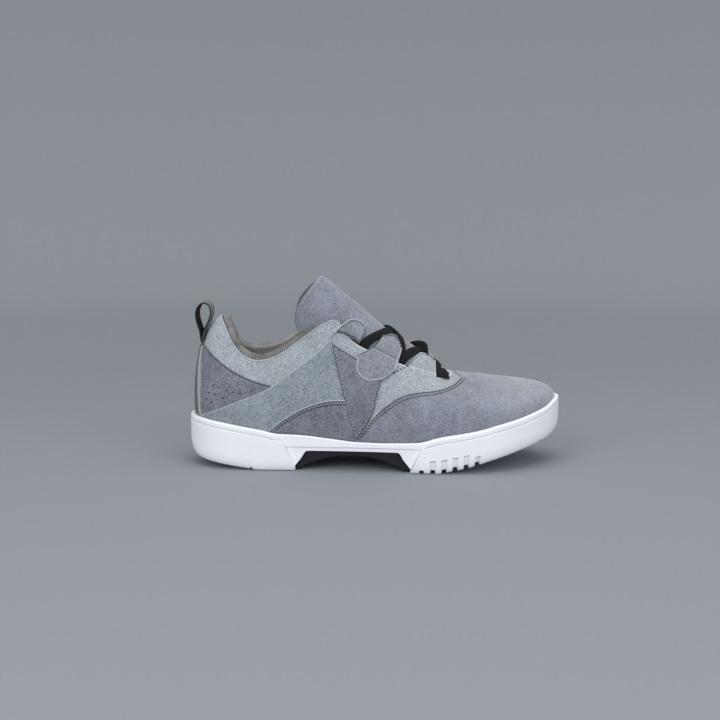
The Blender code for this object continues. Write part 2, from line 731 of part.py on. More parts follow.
def lace_rings(bar):
    """Flat lace laid over the tongue from one edge of the throat to the other."""
    s0, w0, s1, w1 = bar
    t = np.linspace(0.0, 1.0, 11)
    s = s0 + (s1 - s0) * t
    w = w0 + (w1 - w0) * t
    normal = tongue_normal(s, w)
    middle = tongue_point(s, w) + normal * (LACE_THICKNESS * 0.5 + 0.5)
    run = np.gradient(middle, axis=0)
    run = run / np.linalg.norm(run, axis=1)[:, None]
    side = np.cross(run, normal)
    side = side / np.linalg.norm(side, axis=1)[:, None]
    lift = np.cross(side, run)
    half = LACE_WIDTH * 0.5
    deep = LACE_THICKNESS * 0.5
    section = ((-half, 0.0), (-half * 0.75, deep), (half * 0.75, deep), (half, 0.0), (half * 0.75, -deep),
               (-half * 0.75, -deep))
    return np.stack([middle + side * a + lift * b for a, b in section], axis=1)


def build_laces(group, tools):
    laces = tube_solid("laces", lace_rings(LACE_BARS[0]), group, "laces")
    for index, bar in enumerate(LACE_BARS[1:]):
        boolean(laces, tube_solid("lace_bar_%d" % index, lace_rings(bar), tools, None), "UNION")


def build_loop(group):
    """Pull loop, a flat web bent into a closed drop shape behind the heel."""
    line = np.array(PULL_LOOP)
    run = np.roll(line, -1, axis=0) - np.roll(line, 1, axis=0)
    run = run / np.linalg.norm(run, axis=1)[:, None]
    normal = np.column_stack((-run[:, 1], run[:, 0])) * LOOP_WEB * 0.5
    rings = []
    for sign, y in ((1, -1), (1, 1), (-1, 1), (-1, -1)):
        edge = line + normal * sign
        rings.append(np.column_stack((edge[:, 0], np.full(len(line), y * LOOP_WIDTH * 0.5), edge[:, 1])))
    tube_solid("pull_loop", np.stack(rings, axis=1), group, "pull_loop", closed=True)


def lug_tools(tools):
    """Grooves across the forefoot tread, each with a recess over it on the side walls, and one at the toe."""
    for index in range(6):
        x = FIRST_LUG_GAP + index * LUG_PITCH
        yield groove("lug_gap_%d" % index, x, LUG_GAP, LUG_DEPTH, tools)
        for side in (-1, 1):
            yield side_recess("recess_%d_%d" % (index, side), x, side, tools)
    yield groove("toe_groove", 131.0, 1.6, 2.0, tools)


def groove(name, x, width, depth, tools):
    x0 = x - width * 0.5
    x1 = x + width * 0.5
    top0 = float(tread_height(x0)) + depth
    top1 = float(tread_height(x1)) + depth
    return side_prism(name, [(x0, -8.0), (x1, -8.0), (x1, top1), (x0, top0)], tools)


def side_recess(name, x, side, tools):
    """Box that dips into the side wall over one lug gap."""
    u = np.linspace(STATIONS * 0.5, STATIONS - 3.0, 200)
    u = float(np.interp(x, last_section(u)[:, 0], u))
    u = u if side < 0 else LOOP - u
    row, normal = plan_frame(np.array([u]))
    out = normal[0]
    run = np.array((-out[1], out[0]))
    middle = row[0, :2] + out * (CUP_OUTSET - RECESS_DEPTH + 2.0)
    low = float(tread_height(x)) + LUG_DEPTH - 0.6
    corners = []
    for z in (low, low + RECESS_HEIGHT):
        for a, b in ((-1, -1), (1, -1), (1, 1), (-1, 1)):
            plan = middle + run * (a * RECESS_WIDTH * 0.5) + out * (b * 2.0)
            corners.append((plan[0], plan[1], z))
    faces = [(0, 1, 2, 3), (7, 6, 5, 4), (0, 4, 5, 1), (1, 5, 6, 2), (2, 6, 7, 3), (3, 7, 4, 0)]
    return add_object(name, corners, faces, tools)


def build_sole(group, tools):
    heel = sole_form("heel_cup", CUP_RINGS, group, "heel_cup")
    heel_outline = [(-170.0, -6.0)] + list(HEEL_JOINT) + [(-100.0, 60.0), (-170.0, 60.0)]
    boolean(heel, side_prism("heel_side", heel_outline, tools), "INTERSECT")
    boolean(heel, groove("heel_groove", -98.6, 1.6, 2.0, tools), "DIFFERENCE")

    forefoot = sole_form("forefoot_cup", CUP_RINGS, group, "forefoot_cup")
    fore_outline = list(FORE_JOINT) + [(56.0, 70.0), (170.0, 70.0), (170.0, -6.0)]
    boolean(forefoot, side_prism("fore_side", fore_outline, tools), "INTERSECT")
    for tool in lug_tools(tools):
        boolean(forefoot, tool, "DIFFERENCE")

    midsole = sole_form("midsole", BAND_RINGS, group, "midsole")
    mid_outline = [(-64.3, 3.6), (-54.0, PLATE_TOP + JOINT_GAP), (16.5, PLATE_TOP + JOINT_GAP), (27.0, 3.1)]
    mid_outline += shifted(FORE_JOINT[2:], -JOINT_GAP) + [(50.0, 50.0), (-88.0, 50.0)]
    mid_outline += shifted(HEEL_JOINT[:1:-1], JOINT_GAP)
    boolean(midsole, side_prism("mid_side", mid_outline, tools), "INTERSECT")

    plate = sole_form("grind_plate", PLATE_RINGS, group, "grind_plate")
    rear, front = PLATE_FEET
    middle = 0.5 * (rear + front)
    half = 0.5 * (front - rear)
    radius = (half * half + PLATE_ARCH * PLATE_ARCH) / (2.0 * PLATE_ARCH)
    sweep = math.asin(half / radius)
    plate_outline = [(15.6, 20.0), (15.6, PLATE_TOP), (26.3, 2.4), (26.0, PLATE_LEVEL)]
    for i in range(11):
        angle = sweep * (1.0 - i / 5.0)
        plate_outline.append(
            (middle + radius * math.sin(angle), PLATE_LEVEL + PLATE_ARCH - radius * (1.0 - math.cos(angle)))
        )
    plate_outline += [(-63.0, PLATE_LEVEL), (-63.6, 2.9), (-53.1, PLATE_TOP), (-53.1, 20.0)]
    boolean(plate, side_prism("plate_side", plate_outline, tools), "INTERSECT")

    sole_form("insole", INSOLE_RINGS, group, "insole")


def main():
    clear_scene()
    scene = bpy.context.scene
    group = bpy.data.collections.new("grind_shoe")
    tools = bpy.data.collections.new("cutters")
    scene.collection.children.link(group)
    scene.collection.children.link(tools)
    build_upper(group)
    build_vamp(group)
    build_panels(group)
    build_lining(group)
    build_tongue(group)
    build_laces(group, tools)
    build_loop(group)
    build_sole(group, tools)


main()
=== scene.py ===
import bpy
import numpy as np
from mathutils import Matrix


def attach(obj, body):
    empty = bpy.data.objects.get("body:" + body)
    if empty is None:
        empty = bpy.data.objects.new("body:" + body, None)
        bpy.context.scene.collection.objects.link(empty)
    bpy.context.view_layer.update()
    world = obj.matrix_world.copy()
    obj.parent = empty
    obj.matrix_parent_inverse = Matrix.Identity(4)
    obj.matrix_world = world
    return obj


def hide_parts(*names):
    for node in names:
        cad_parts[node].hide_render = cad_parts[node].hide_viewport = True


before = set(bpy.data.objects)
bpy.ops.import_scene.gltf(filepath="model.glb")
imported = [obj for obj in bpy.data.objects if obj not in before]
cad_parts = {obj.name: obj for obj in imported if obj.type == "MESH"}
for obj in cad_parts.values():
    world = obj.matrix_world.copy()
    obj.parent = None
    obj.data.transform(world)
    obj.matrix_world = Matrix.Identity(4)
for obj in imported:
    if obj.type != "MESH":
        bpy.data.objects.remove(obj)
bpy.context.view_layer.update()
scene = bpy.context.scene
scene.view_settings.view_transform = "Standard"
print("frame loaded,", len(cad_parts), "nodes")

# Camera, in metres and degrees; it looks along +Y at the lateral side.
shot = {"lens": 55.0, "sensor": 36.0, "target": (-0.0126, 0.0, 0.0826), "distance": 0.894, "pitch": 8.0}


def makeCamera():
    # stands back from the target and looks down at it
    pitch = np.radians(shot["pitch"])
    lens = bpy.data.cameras.new("camera")
    lens.lens = shot["lens"]
    lens.sensor_width = shot["sensor"]
    item = bpy.data.objects.new("camera", lens)
    back = np.array((0.0, -np.cos(pitch), np.sin(pitch)))
    item.location = np.array(shot["target"]) + back * shot["distance"]
    item.rotation_euler = (np.pi / 2.0 - pitch, 0.0, 0.0)
    scene.collection.objects.link(item)
    scene.camera = item


makeCamera()

# The last and the sole in side view, in millimetres: +X toe, -Y lateral side, +Z up.
lastForm = {
    "length": 291.0, "ball": 98.0, "heel": 119.3, "instep": 110.0,
    "wall": 2.2, "gap": 0.3, "tabRun": 100.0, "centreY": 0.15,
    # x share of the length, lateral reach, medial reach as shares of the ball width
    "feather": (
        (-0.5000, 0.000, 0.000), (-0.4790, 0.179, 0.179), (-0.4260, 0.296, 0.296), (-0.3470, 0.352, 0.347),
        (-0.2610, 0.367, 0.337), (-0.1720, 0.383, 0.316), (-0.0825, 0.403, 0.311), (0.0070, 0.434, 0.337),
        (0.0960, 0.474, 0.408), (0.1890, 0.500, 0.485), (0.2820, 0.474, 0.500), (0.3680, 0.388, 0.459),
        (0.4430, 0.235, 0.367), (0.4845, 0.082, 0.235), (0.5000, -0.082, 0.082),
    ),
    # x share, reach share, lateral and medial height as shares of the heel height
    "collar": (
        (-0.4320, 0.000, 1.000, 1.000), (-0.4160, 0.158, 0.947, 0.930), (-0.3900, 0.255, 0.834, 0.785),
        (-0.3400, 0.311, 0.729, 0.740), (-0.2715, 0.337, 0.750, 0.765), (-0.1990, 0.337, 0.868, 0.876),
        (-0.1120, 0.323, 0.988, 0.988),
    ),
    # x share, reach share, lateral and medial height as shares of the instep height
    "throat": (
        (-0.0687, 0.300, 0.938, 0.938), (0.0172, 0.287, 0.811, 0.813), (0.1100, 0.266, 0.707, 0.720),
        (0.1660, 0.216, 0.650, 0.688), (0.1860, 0.165, 0.645, 0.675), (0.2010, 0.112, 0.647, 0.667),
        (0.2085, 0.051, 0.655, 0.663), (0.2110, -0.010, 0.659, 0.659),
    ),
    # lean out at the foot, lean in at the top, fullness low and high, lining pad and roll
    "section": (
        (2.0, 60.0, 0.40, 0.22, 1.00, 0.75), (3.0, 43.0, 0.40, 0.27, 1.00, 1.05),
        (4.0, 18.0, 0.40, 0.33, 1.00, 1.05), (5.0, 10.0, 0.38, 0.33, 1.00, 1.00),
        (4.0, 8.0, 0.36, 0.33, 0.95, 0.90), (3.0, 8.0, 0.34, 0.33, 0.62, 0.66),
        (2.0, 14.0, 0.34, 0.33, 0.36, 0.42), (1.0, 26.0, 0.34, 0.34, 0.30, 0.20),
        (1.0, 35.0, 0.36, 0.34, 0.30, 0.20), (2.0, 41.0, 0.38, 0.35, 0.30, 0.20),
        (3.0, 51.0, 0.38, 0.37, 0.30, 0.20), (3.0, 63.0, 0.285, 0.455, 0.30, 0.20),
        (2.0, 74.0, 0.206, 0.535, 0.30, 0.20), (1.0, 79.0, 0.139, 0.590, 0.30, 0.20),
        (0.0, 82.0, 0.158, 0.605, 0.30, 0.20),
    ),
    # x, height
    "lip": (
        (-152, 40.6), (-131, 38.6), (-106, 34.9), (-89, 31.9), (-79, 29.4), (-60, 28.6), (-36, 26.0),
        (-16, 23.7), (3, 23.2), (20, 23.7), (35, 24.5), (43, 27.1), (50, 29.0), (64, 31.3), (80, 33.9),
        (95, 37.5), (112, 41.1), (129, 45.6), (136, 47.8), (143, 51.2), (152, 54.2),
    ),
    "footbed": (
        (-152, 27.0), (-110, 25.0), (-80, 22.5), (-50, 20.0), (-20, 18.6), (10, 18.2), (40, 18.2),
        (60, 19.0), (80, 21.8), (100, 26.8), (120, 32.4), (140, 38.6), (152, 42.0),
    ),
    "tread": (
        (-152, 15.0), (-147, 9.8), (-141, 7.0), (-125, 4.3), (-104, 1.6), (-91, 0.0), (-60, 0.0), (25, 0.0),
        (47, 0.0), (59, 2.2), (68, 3.9), (76, 5.8), (88, 9.2), (104, 13.4), (120, 17.7), (134, 21.4),
        (145, 25.8), (152, 30.5),
    ),
}

stations = len(lastForm["feather"]) - 1
loop = 2 * stations
perStation = 100  # samples where a length round the last is measured
probe = {"plan": 0.01, "u": 0.02, "h": 0.01, "ridge": 0.05, "w": 0.02}  # small steps for tangents
nearTop = 0.98  # h just under the top edge, for the direction there

# Soft creases of the upper: x, z, turn from level, half length, half width, rise (minus is a trough),
# side (-1 lateral, 1 medial, 0 both).
creases = np.array((
    (80.0, 62.0, 118.0, 15.0, 3.6, -0.55, 0), (87.0, 61.0, 116.0, 15.0, 3.8, 0.35, 0),
    (96.0, 58.0, 114.0, 12.0, 4.0, -0.40, 0), (70.0, 50.0, 128.0, 14.0, 4.2, -0.30, -1),
    (-92.0, 76.0, 12.0, 24.0, 5.5, -0.50, -1), (-70.0, 82.0, 40.0, 20.0, 4.6, 0.40, -1),
    (-120.0, 62.0, 62.0, 14.0, 4.2, -0.35, -1), (-50.0, 66.0, 62.0, 16.0, 4.4, -0.40, -1),
    (-92.0, 78.0, 14.0, 22.0, 5.0, -0.55, 1), (-60.0, 60.0, 50.0, 18.0, 5.0, -0.45, 1),
    (30.0, 50.0, 75.0, 12.0, 4.0, -0.30, 1), (-8.0, 52.0, 96.0, 16.0, 5.0, -0.30, 0),
))


def smoothStep(low, high, value):
    # 0 to 1 between low and high, level at both ends
    t = np.clip((value - low) / (high - low), 0.0, 1.0)
    return t * t * (3.0 - 2.0 * t)


def spread(count):
    # 0 to 1, closer together at both ends: half of one minus the cosine
    return 0.5 - 0.5 * np.cos(np.pi * np.linspace(0.0, 1.0, count))


def unit(vectors):
    # each vector over its own length
    return vectors / np.maximum(np.linalg.norm(vectors, axis=-1, keepdims=True), 1e-12)


def circle(count):
    # equal angles once round
    return np.linspace(0.0, 2.0 * np.pi, count, endpoint=False)


def bell(value, width):
    # 1 at nought, the exponential of minus the square away from it
    return np.exp(-(value / width) ** 2)


def edgeRound(inward, radius):
    # quarter circle by the distance in from an edge: 0 at the edge, 1 from one radius in
    share = 1.0 - np.clip(inward / radius, 0.0, 1.0)
    return np.sqrt(1.0 - share * share)


def signedPower(value, power):
    # the sign stays, the size is raised to a power; powers below one square off a circle
    return np.sign(value) * np.abs(value) ** power


def pairGrid(along, across):
    # a grid of texture places from one value for each row and one for each column
    return np.stack(np.broadcast_arrays(along, across), axis=-1)


def smoothLine(rows):
    # monotone cubic through (x, value) rows, slopes as the harmonic mean of the steps either side
    table = np.array(rows, dtype=float)
    xs, ys = table[:, 0], table[:, 1]
    steps = np.diff(ys) / np.diff(xs)
    slopes = np.zeros_like(ys)
    product = steps[:-1] * steps[1:]
    safe = np.where(product > 0, steps[:-1] + steps[1:], 1.0)
    slopes[1:-1] = np.where(product > 0, 2.0 * product / safe, 0.0)
    slopes[0], slopes[-1] = steps[0], steps[-1]

    def value(x):
        x = np.clip(x, xs[0], xs[-1])
        i = np.clip(np.searchsorted(xs, x) - 1, 0, len(xs) - 2)
        width = xs[i + 1] - xs[i]
        t = (x - xs[i]) / width
        rise = ys[i] * (1 + 2 * t) * (1 - t) ** 2 + ys[i + 1] * t * t * (3 - 2 * t)
        lean = slopes[i] * t * (1 - t) ** 2 - slopes[i + 1] * t * t * (1 - t)
        return rise + lean * width

    return value


def openSpline(rows):
    # smoothLine for each column, with the row number as the parameter
    table = np.array(rows, dtype=float)
    lines = [smoothLine(np.column_stack((np.arange(len(table)), column))) for column in table.T]
    return lambda s: np.stack([line(s) for line in lines], axis=-1)


def alongRows(rows, share):
    # the open spline of the rows at shares 0 to 1 of its run
    return openSpline(rows)(share * (len(rows) - 1.0))


def closedSpline(rows):
    # closed natural cubic through the rows, one row for each unit of the loop
    table = np.array(rows, dtype=float)
    count = len(table)
    matrix = 4.0 * np.eye(count) + np.roll(np.eye(count), 1, axis=0) + np.roll(np.eye(count), -1, axis=0)
    turn = np.roll(table, -1, axis=0) - 2.0 * table + np.roll(table, 1, axis=0)
    bend = np.linalg.solve(matrix, 6.0 * turn)

    def value(u):
        base = np.floor(u)
        i = base.astype(int) % count
        j = (i + 1) % count
        f = (u - base)[..., None]
        g = 1.0 - f
        return table[i] * g + table[j] * f + ((g ** 3 - g) * bend[i] + (f ** 3 - f) * bend[j]) / 6.0

    return value


lipHeight = smoothLine(lastForm["lip"])
footbedHeight = smoothLine(lastForm["footbed"])
treadHeight = smoothLine(lastForm["tread"])


def lastRows():
    # one loop of stations: heel, lateral side, toe, medial side
    lateral, medial = [], []
    for k in range(stations + 1):
        x, lateralReach, medialReach = lastForm["feather"][k]
        if k < len(lastForm["collar"]):
            topX, reach, lateralTop, medialTop = lastForm["collar"][k]
            height = lastForm["heel"]
        else:
            topX, reach, lateralTop, medialTop = lastForm["throat"][k - len(lastForm["collar"])]
            height = lastForm["instep"]
        medialSide = -1.0 if k == stations else 1.0
        footX, edgeX = x * lastForm["length"], topX * lastForm["length"]
        ball, section = lastForm["ball"], lastForm["section"][k]
        lateral.append((footX, -lateralReach * ball, edgeX, -reach * ball, lateralTop * height) + section)
        medial.append((footX, medialReach * ball, edgeX, medialSide * reach * ball, medialTop * height) + section)
    return lateral + medial[stations - 1:0:-1]


lastSection = closedSpline(lastRows())


def planFrame(u):
    # feather point and its outward plan normal, the tangent turned a quarter
    run = unit(lastSection(u + probe["plan"])[..., :2] - lastSection(u - probe["plan"])[..., :2])
    return lastSection(u), np.stack((run[..., 1], -run[..., 0]), axis=-1)


def upperPoint(u, h):
    # u runs round the last; h from the footbed (-1) by the lip (0) to the top edge (1) on one cubic Bezier,
    # then straight in over the throat
    u, h = np.broadcast_arrays(np.asarray(u, dtype=float), np.asarray(h, dtype=float))
    row, normal = planFrame(u)
    x, y, topX, topY, topZ, leanOut, leanIn, low, high = np.moveaxis(row[..., :9], -1, 0)
    lip = lipHeight(x)
    foot, top = np.stack((x, y, lip), axis=-1), np.stack((topX, topY, topZ), axis=-1)
    chord = np.linalg.norm(top - foot, axis=-1)
    inward = unit(top[..., :2] - foot[..., :2])
    leanOut, leanIn = np.radians(leanOut), np.radians(leanIn)
    start = np.concatenate((normal * np.sin(leanOut)[..., None], np.cos(leanOut)[..., None]), axis=-1)
    end = np.concatenate((inward * np.sin(leanIn)[..., None], np.cos(leanIn)[..., None]), axis=-1)
    second = foot + start * (chord * low)[..., None]
    third = top - end * (chord * high)[..., None]
    t = np.clip(h, 0.0, 1.0)[..., None]
    r = 1.0 - t
    point = foot * r ** 3 + 3.0 * second * r * r * t + 3.0 * third * r * t * t + top * t ** 3
    beyond = np.stack((np.zeros_like(x), -np.sign(topY) * np.sin(leanIn), np.cos(leanIn)), axis=-1)
    point = point + beyond * (lastForm["tabRun"] * np.maximum(h - 1.0, 0.0))[..., None]
    point[..., 2] += np.minimum(h, 0.0) * (lip - footbedHeight(x) - lastForm["gap"])
    return point


def upperNormal(u, h):
    # outward normal, the cross product of the two tangents
    u, h = np.asarray(u, dtype=float), np.asarray(h, dtype=float)
    return unit(np.cross(upperPoint(u + probe["u"], h) - upperPoint(u - probe["u"], h),
                         upperPoint(u, h + probe["h"]) - upperPoint(u, h - probe["h"])))


def creaseRise(point):
    # sum of long bell shapes in side view, each turned by its own angle
    x, z = point[..., 0, None] - creases[:, 0], point[..., 2, None] - creases[:, 1]
    turn = np.radians(creases[:, 2])
    along = x * np.cos(turn) + z * np.sin(turn)
    across = z * np.cos(turn) - x * np.sin(turn)
    hill = np.exp(-(along / creases[:, 3]) ** 2 - (across / creases[:, 4]) ** 2)
    onSide = np.where(creases[:, 6] * point[..., 1, None] >= 0.0, 1.0, 0.0)
    return np.sum(hill * onSide * creases[:, 5], axis=-1)


def skin(u, h, lift):
    # the upper's outside with its creases, moved out along the normal
    point = upperPoint(u, h)
    return point + upperNormal(u, h) * (lift + creaseRise(point))[..., None]


# Search on the upper: net of first guesses in u and h, Newton steps, their own small step and longest move.
search = {"u": (0.4, stations - 0.6, 54), "h": (0.0, 1.25, 22), "steps": 16, "probe": 0.01, "moveU": 0.3, "moveH": 0.1}


def locate(x, z, side):
    # u and h of side-view points by Newton steps from the nearest of a coarse net of points
    x, z = np.asarray(x, dtype=float), np.asarray(z, dtype=float)
    seedU, seedH = np.meshgrid(np.linspace(*search["u"]), np.linspace(*search["h"]), indexing="ij")
    seedU = seedU if side < 0 else loop - seedU
    seeds = upperPoint(seedU, seedH).reshape(-1, 3)
    miss = (seeds[:, 0] - x.reshape(-1, 1)) ** 2 + (seeds[:, 2] - z.reshape(-1, 1)) ** 2
    best = np.argmin(miss, axis=1)
    u, h = seedU.reshape(-1)[best].reshape(x.shape), seedH.reshape(-1)[best].reshape(x.shape)
    for _ in range(search["steps"]):
        here = upperPoint(u, h)
        byU = (upperPoint(u + search["probe"], h) - here) / search["probe"]
        byH = (upperPoint(u, h + search["probe"]) - here) / search["probe"]
        missX, missZ = x - here[..., 0], z - here[..., 2]
        det = byU[..., 0] * byH[..., 2] - byU[..., 2] * byH[..., 0]
        moveU = (missX * byH[..., 2] - missZ * byH[..., 0]) / det
        moveH = (byU[..., 0] * missZ - byU[..., 2] * missX) / det
        u = u + np.clip(moveU, -search["moveU"], search["moveU"])
        h = h + np.clip(moveH, -search["moveH"], search["moveH"])
    return u, h


def runLength(points, axis):
    # length from the first point along one axis of a grid
    steps = np.linalg.norm(np.diff(points, axis=axis), axis=-1)
    start = np.zeros_like(np.take(steps, [0], axis=axis))
    return np.concatenate((start, np.cumsum(steps, axis=axis)), axis=axis)


def gridQuads(rows, columns, loopRows=False, loopColumns=False):
    # corner numbers of each cell of a grid, going round in a ring where asked
    i = np.arange(rows if loopRows else rows - 1)[:, None]
    j = np.arange(columns if loopColumns else columns - 1)[None, :]
    k, m = (i + 1) % rows, (j + 1) % columns
    return np.stack(np.broadcast_arrays(i * columns + j, k * columns + j, k * columns + m, i * columns + m),
                    axis=-1).reshape(-1, 4)


def gridCorners(uv):
    # the same cells' corners of a grid of texture places
    return uv.reshape(-1, 2)[gridQuads(*uv.shape[:2])]


def sheetQuads(rows, columns):
    # two sheets of one grid, the second under the first, closed by a band round the rim
    grid, count = gridQuads(rows, columns), rows * columns
    rim = np.concatenate((np.arange(rows) * columns, (rows - 1) * columns + np.arange(1, columns),
                          np.arange(rows - 2, -1, -1) * columns + columns - 1, np.arange(columns - 2, 0, -1)))
    ahead = np.roll(rim, -1)
    band = np.stack((rim, rim + count, ahead + count, ahead), axis=-1)
    return np.concatenate((grid[:, ::-1], grid + count, band))


def cappedTube(uv):
    # faces of a tube with both end rings folded shut, and their texture places; the grid repeats its first column
    rows, columns = uv.shape[0], uv.shape[1] - 1
    fold = np.arange(columns // 2 - 1)
    cap = np.stack((fold, fold + 1, columns - 2 - fold, columns - 1 - fold), axis=-1)
    caps = np.concatenate((cap[:, ::-1], cap + (rows - 1) * columns))
    quads = np.concatenate((gridQuads(rows, columns, loopColumns=True), caps))
    return quads, np.concatenate((gridCorners(uv), np.zeros((len(caps), 4, 2))))


def weld(points, quads):
    # one number for corners that share a place, to a hundredth of a millimetre; the shift keeps round places off
    # the border between two hundredths
    _, first, number = np.unique(np.round(points + 0.00137, 2), axis=0, return_index=True, return_inverse=True)
    return points[first], number.reshape(-1)[quads], first


triangles = {}


def putPiece(name, points, quads, finishes, nodes=(), uv=None, marks=None, faceFinish=None,
             sharp=40.0):
    # a closed mesh in metres from corners in millimetres; faces are turned outwards by the sign of its volume
    points = points.reshape(-1, 3)
    a, b, c, d = (points[quads[:, k]] for k in range(4))
    volume = np.sum(a * np.cross(b, c)) + np.sum(a * np.cross(c, d))
    order = [0, 1, 2, 3] if volume > 0 else [3, 2, 1, 0]
    quads = quads[:, order]
    fresh = quads != np.roll(quads, 1, axis=1)
    sides = fresh.sum(axis=1)
    solid = sides >= 3
    quads, fresh, sides = quads[solid], fresh[solid], sides[solid]
    corners = quads[fresh]
    triangles[name] = int(np.sum(sides - 2))
    mesh = bpy.data.meshes.new(name)
    mesh.vertices.add(len(points))
    mesh.vertices.foreach_set("co", ((points - (0.0, lastForm["centreY"], 0.0)) * 0.001).ravel())
    mesh.loops.add(len(corners))
    mesh.loops.foreach_set("vertex_index", corners.astype(np.int32))
    mesh.polygons.add(len(quads))
    mesh.polygons.foreach_set("loop_start", (np.cumsum(sides) - sides).astype(np.int32))
    if uv is not None:
        layer = mesh.uv_layers.new(name="weave")
        layer.uv.foreach_set("vector", uv[:, order][solid][fresh].astype(np.float32).ravel())
    for key, values in (marks or {}).items():
        mesh.attributes.new(key, "FLOAT", "POINT").data.foreach_set("value", values.astype(np.float32).ravel())
    for finish in finishes:
        mesh.materials.append(finish)
    if faceFinish is not None:
        mesh.polygons.foreach_set("material_index", faceFinish[solid].astype(np.int32))
    mesh.update(calc_edges=True)
    mesh.polygons.foreach_set("use_smooth", np.ones(len(quads), dtype=bool))
    mesh.set_sharp_from_angle(angle=np.radians(sharp))
    item = bpy.data.objects.new(name, mesh)
    scene.collection.objects.link(item)
    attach(item, "root")
    if nodes:
        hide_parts(*nodes)
    return item


inMillimetres = (1000.0, 1000.0, 1000.0)


class Wire:
    # one socket of a material; + - and * add Math nodes
    def __init__(self, tree, socket=None):
        self.tree = tree
        self.socket = socket

    def node(self, kind, settings, links, out=0):
        made = self.tree.nodes.new(kind)
        for key, value in settings.items():
            setattr(made, key, value)
        for key, value in links.items():
            if isinstance(value, Wire):
                self.tree.links.new(value.socket, made.inputs[key])
            else:
                made.inputs[key].default_value = value
        return Wire(self.tree, made.outputs[out])

    def maths(self, operation, first, second=0.0):
        return self.node("ShaderNodeMath", {"operation": operation}, {0: first, 1: second})

    def __add__(self, other):
        return self.maths("ADD", self, other)

    def __sub__(self, other):
        return self.maths("SUBTRACT", self, other)

    def __rsub__(self, other):
        return self.maths("SUBTRACT", other, self)

    def __mul__(self, other):
        return self.maths("MULTIPLY", self, other)

    __radd__ = __add__
    __rmul__ = __mul__

    def sine(self):
        return self.maths("SINE", self)

    def size(self):
        return self.maths("ABSOLUTE", self)

    def between(self, low, high):
        return self.node("ShaderNodeMapRange", {"interpolation_type": "SMOOTHSTEP"}, {0: self, 1: low, 2: high})

    def mark(self, name):
        return self.node("ShaderNodeAttribute", {"attribute_name": name}, {}, out=2)

    def place(self, scale=inMillimetres):
        spot = self.node("ShaderNodeTexCoord", {}, {}, out=3)
        return self.node("ShaderNodeMapping", {}, {"Vector": spot, "Scale": scale})

    def parts(self, vector):
        made = self.node("ShaderNodeSeparateXYZ", {}, {0: vector})
        return [Wire(self.tree, socket) for socket in made.socket.node.outputs]

    def weave(self):
        return self.parts(self.node("ShaderNodeUVMap", {"uv_map": "weave"}, {}))[:2]

    def noise(self, place, grain, detail=2.0, rough=0.5):
        links = {"Vector": place, "Scale": 1.0 / grain, "Detail": detail, "Roughness": rough}
        return self.node("ShaderNodeTexNoise", {}, links)

    def blend(self, share, first, second):
        first, second = (end if isinstance(end, Wire) else tone(*end) for end in (first, second))
        return self.node("ShaderNodeMix", {"data_type": "RGBA", "clamp_factor": True},
                         {0: share, 6: first, 7: second}, out=2)

    def bump(self, height, distance, strength=1.0):
        return self.node("ShaderNodeBump", {}, {"Height": height, "Distance": distance, "Strength": strength})


def tone(red, green, blue):
    # 0 to 255 screen values to linear light
    share = np.array((red, green, blue)) / 255.0
    light = np.where(share <= 0.04045, share / 12.92, ((share + 0.055) / 1.055) ** 2.4)
    return (*light.tolist(), 1.0)


finishSockets = {"colour": "Base Color", "rough": "Roughness", "normal": "Normal"}


def startFinish(name):
    # a new material and its first wire
    material = bpy.data.materials.new(name)
    material.use_nodes = True
    return material, Wire(material.node_tree)


def endFinish(material, fixed, **links):
    # constants straight on the shader's sockets, wires into the others
    shader = material.node_tree.nodes["Principled BSDF"]
    for key, value in fixed.items():
        shader.inputs[key].default_value = value
    for key, wire in links.items():
        wire.tree.links.new(wire.socket, shader.inputs[finishSockets[key]])
    return material


# What most of the leathers share; each one's own dictionary goes over it.
suedeBase = {"nap": 1.2, "clouding": 0.5, "streaks": 0.35, "specks": 3.0, "seamShade": 0.6, "sheen": 0.12,
             "bump": 0.6}


def suedeFinish(name, look):
    # two tones clouded at the scale of a hand stroke, specks at the scale of the nap, pale on cut edges,
    # darker along seams, folds and rims with painted shade towards the deep tone
    look = {**suedeBase, **look}
    material, pen = startFinish(name)
    place = pen.place()
    brushed = pen.place((1000.0, 1000.0, 420.0))
    cloud = pen.noise(place, look["stroke"], 3.0, 0.55)
    streak = pen.noise(brushed, look["stroke"] * 0.22, 2.0, 0.6)
    nap = pen.noise(place, look["nap"], 3.0, 0.7)
    share = (cloud - 0.5) * look["clouding"] + (streak - 0.5) * look["streaks"]
    share = share + (nap - 0.5) * look["specks"] + 0.5
    colour = pen.blend(share, look["dark"], look["pale"])
    # painted shade: the shade mark darkens towards the deep tone
    colour = pen.blend(pen.mark("shade") * look["seamShade"], colour, look["deep"])
    # pale cut edges from the raw mark, which also carries a painted highlight over the vamp's toe top
    colour = pen.blend(pen.mark("raw") * 0.85, colour, look["cut"])
    height = nap + streak * 0.6 + cloud * 0.5
    fixed = {"Sheen Weight": look["sheen"], "Sheen Roughness": 0.45, "Specular IOR Level": 0.2}
    return endFinish(material, fixed, colour=colour, rough=(nap - 0.5) * 0.2 + 0.88,
                     normal=pen.bump(height, 0.0004, look["bump"]))


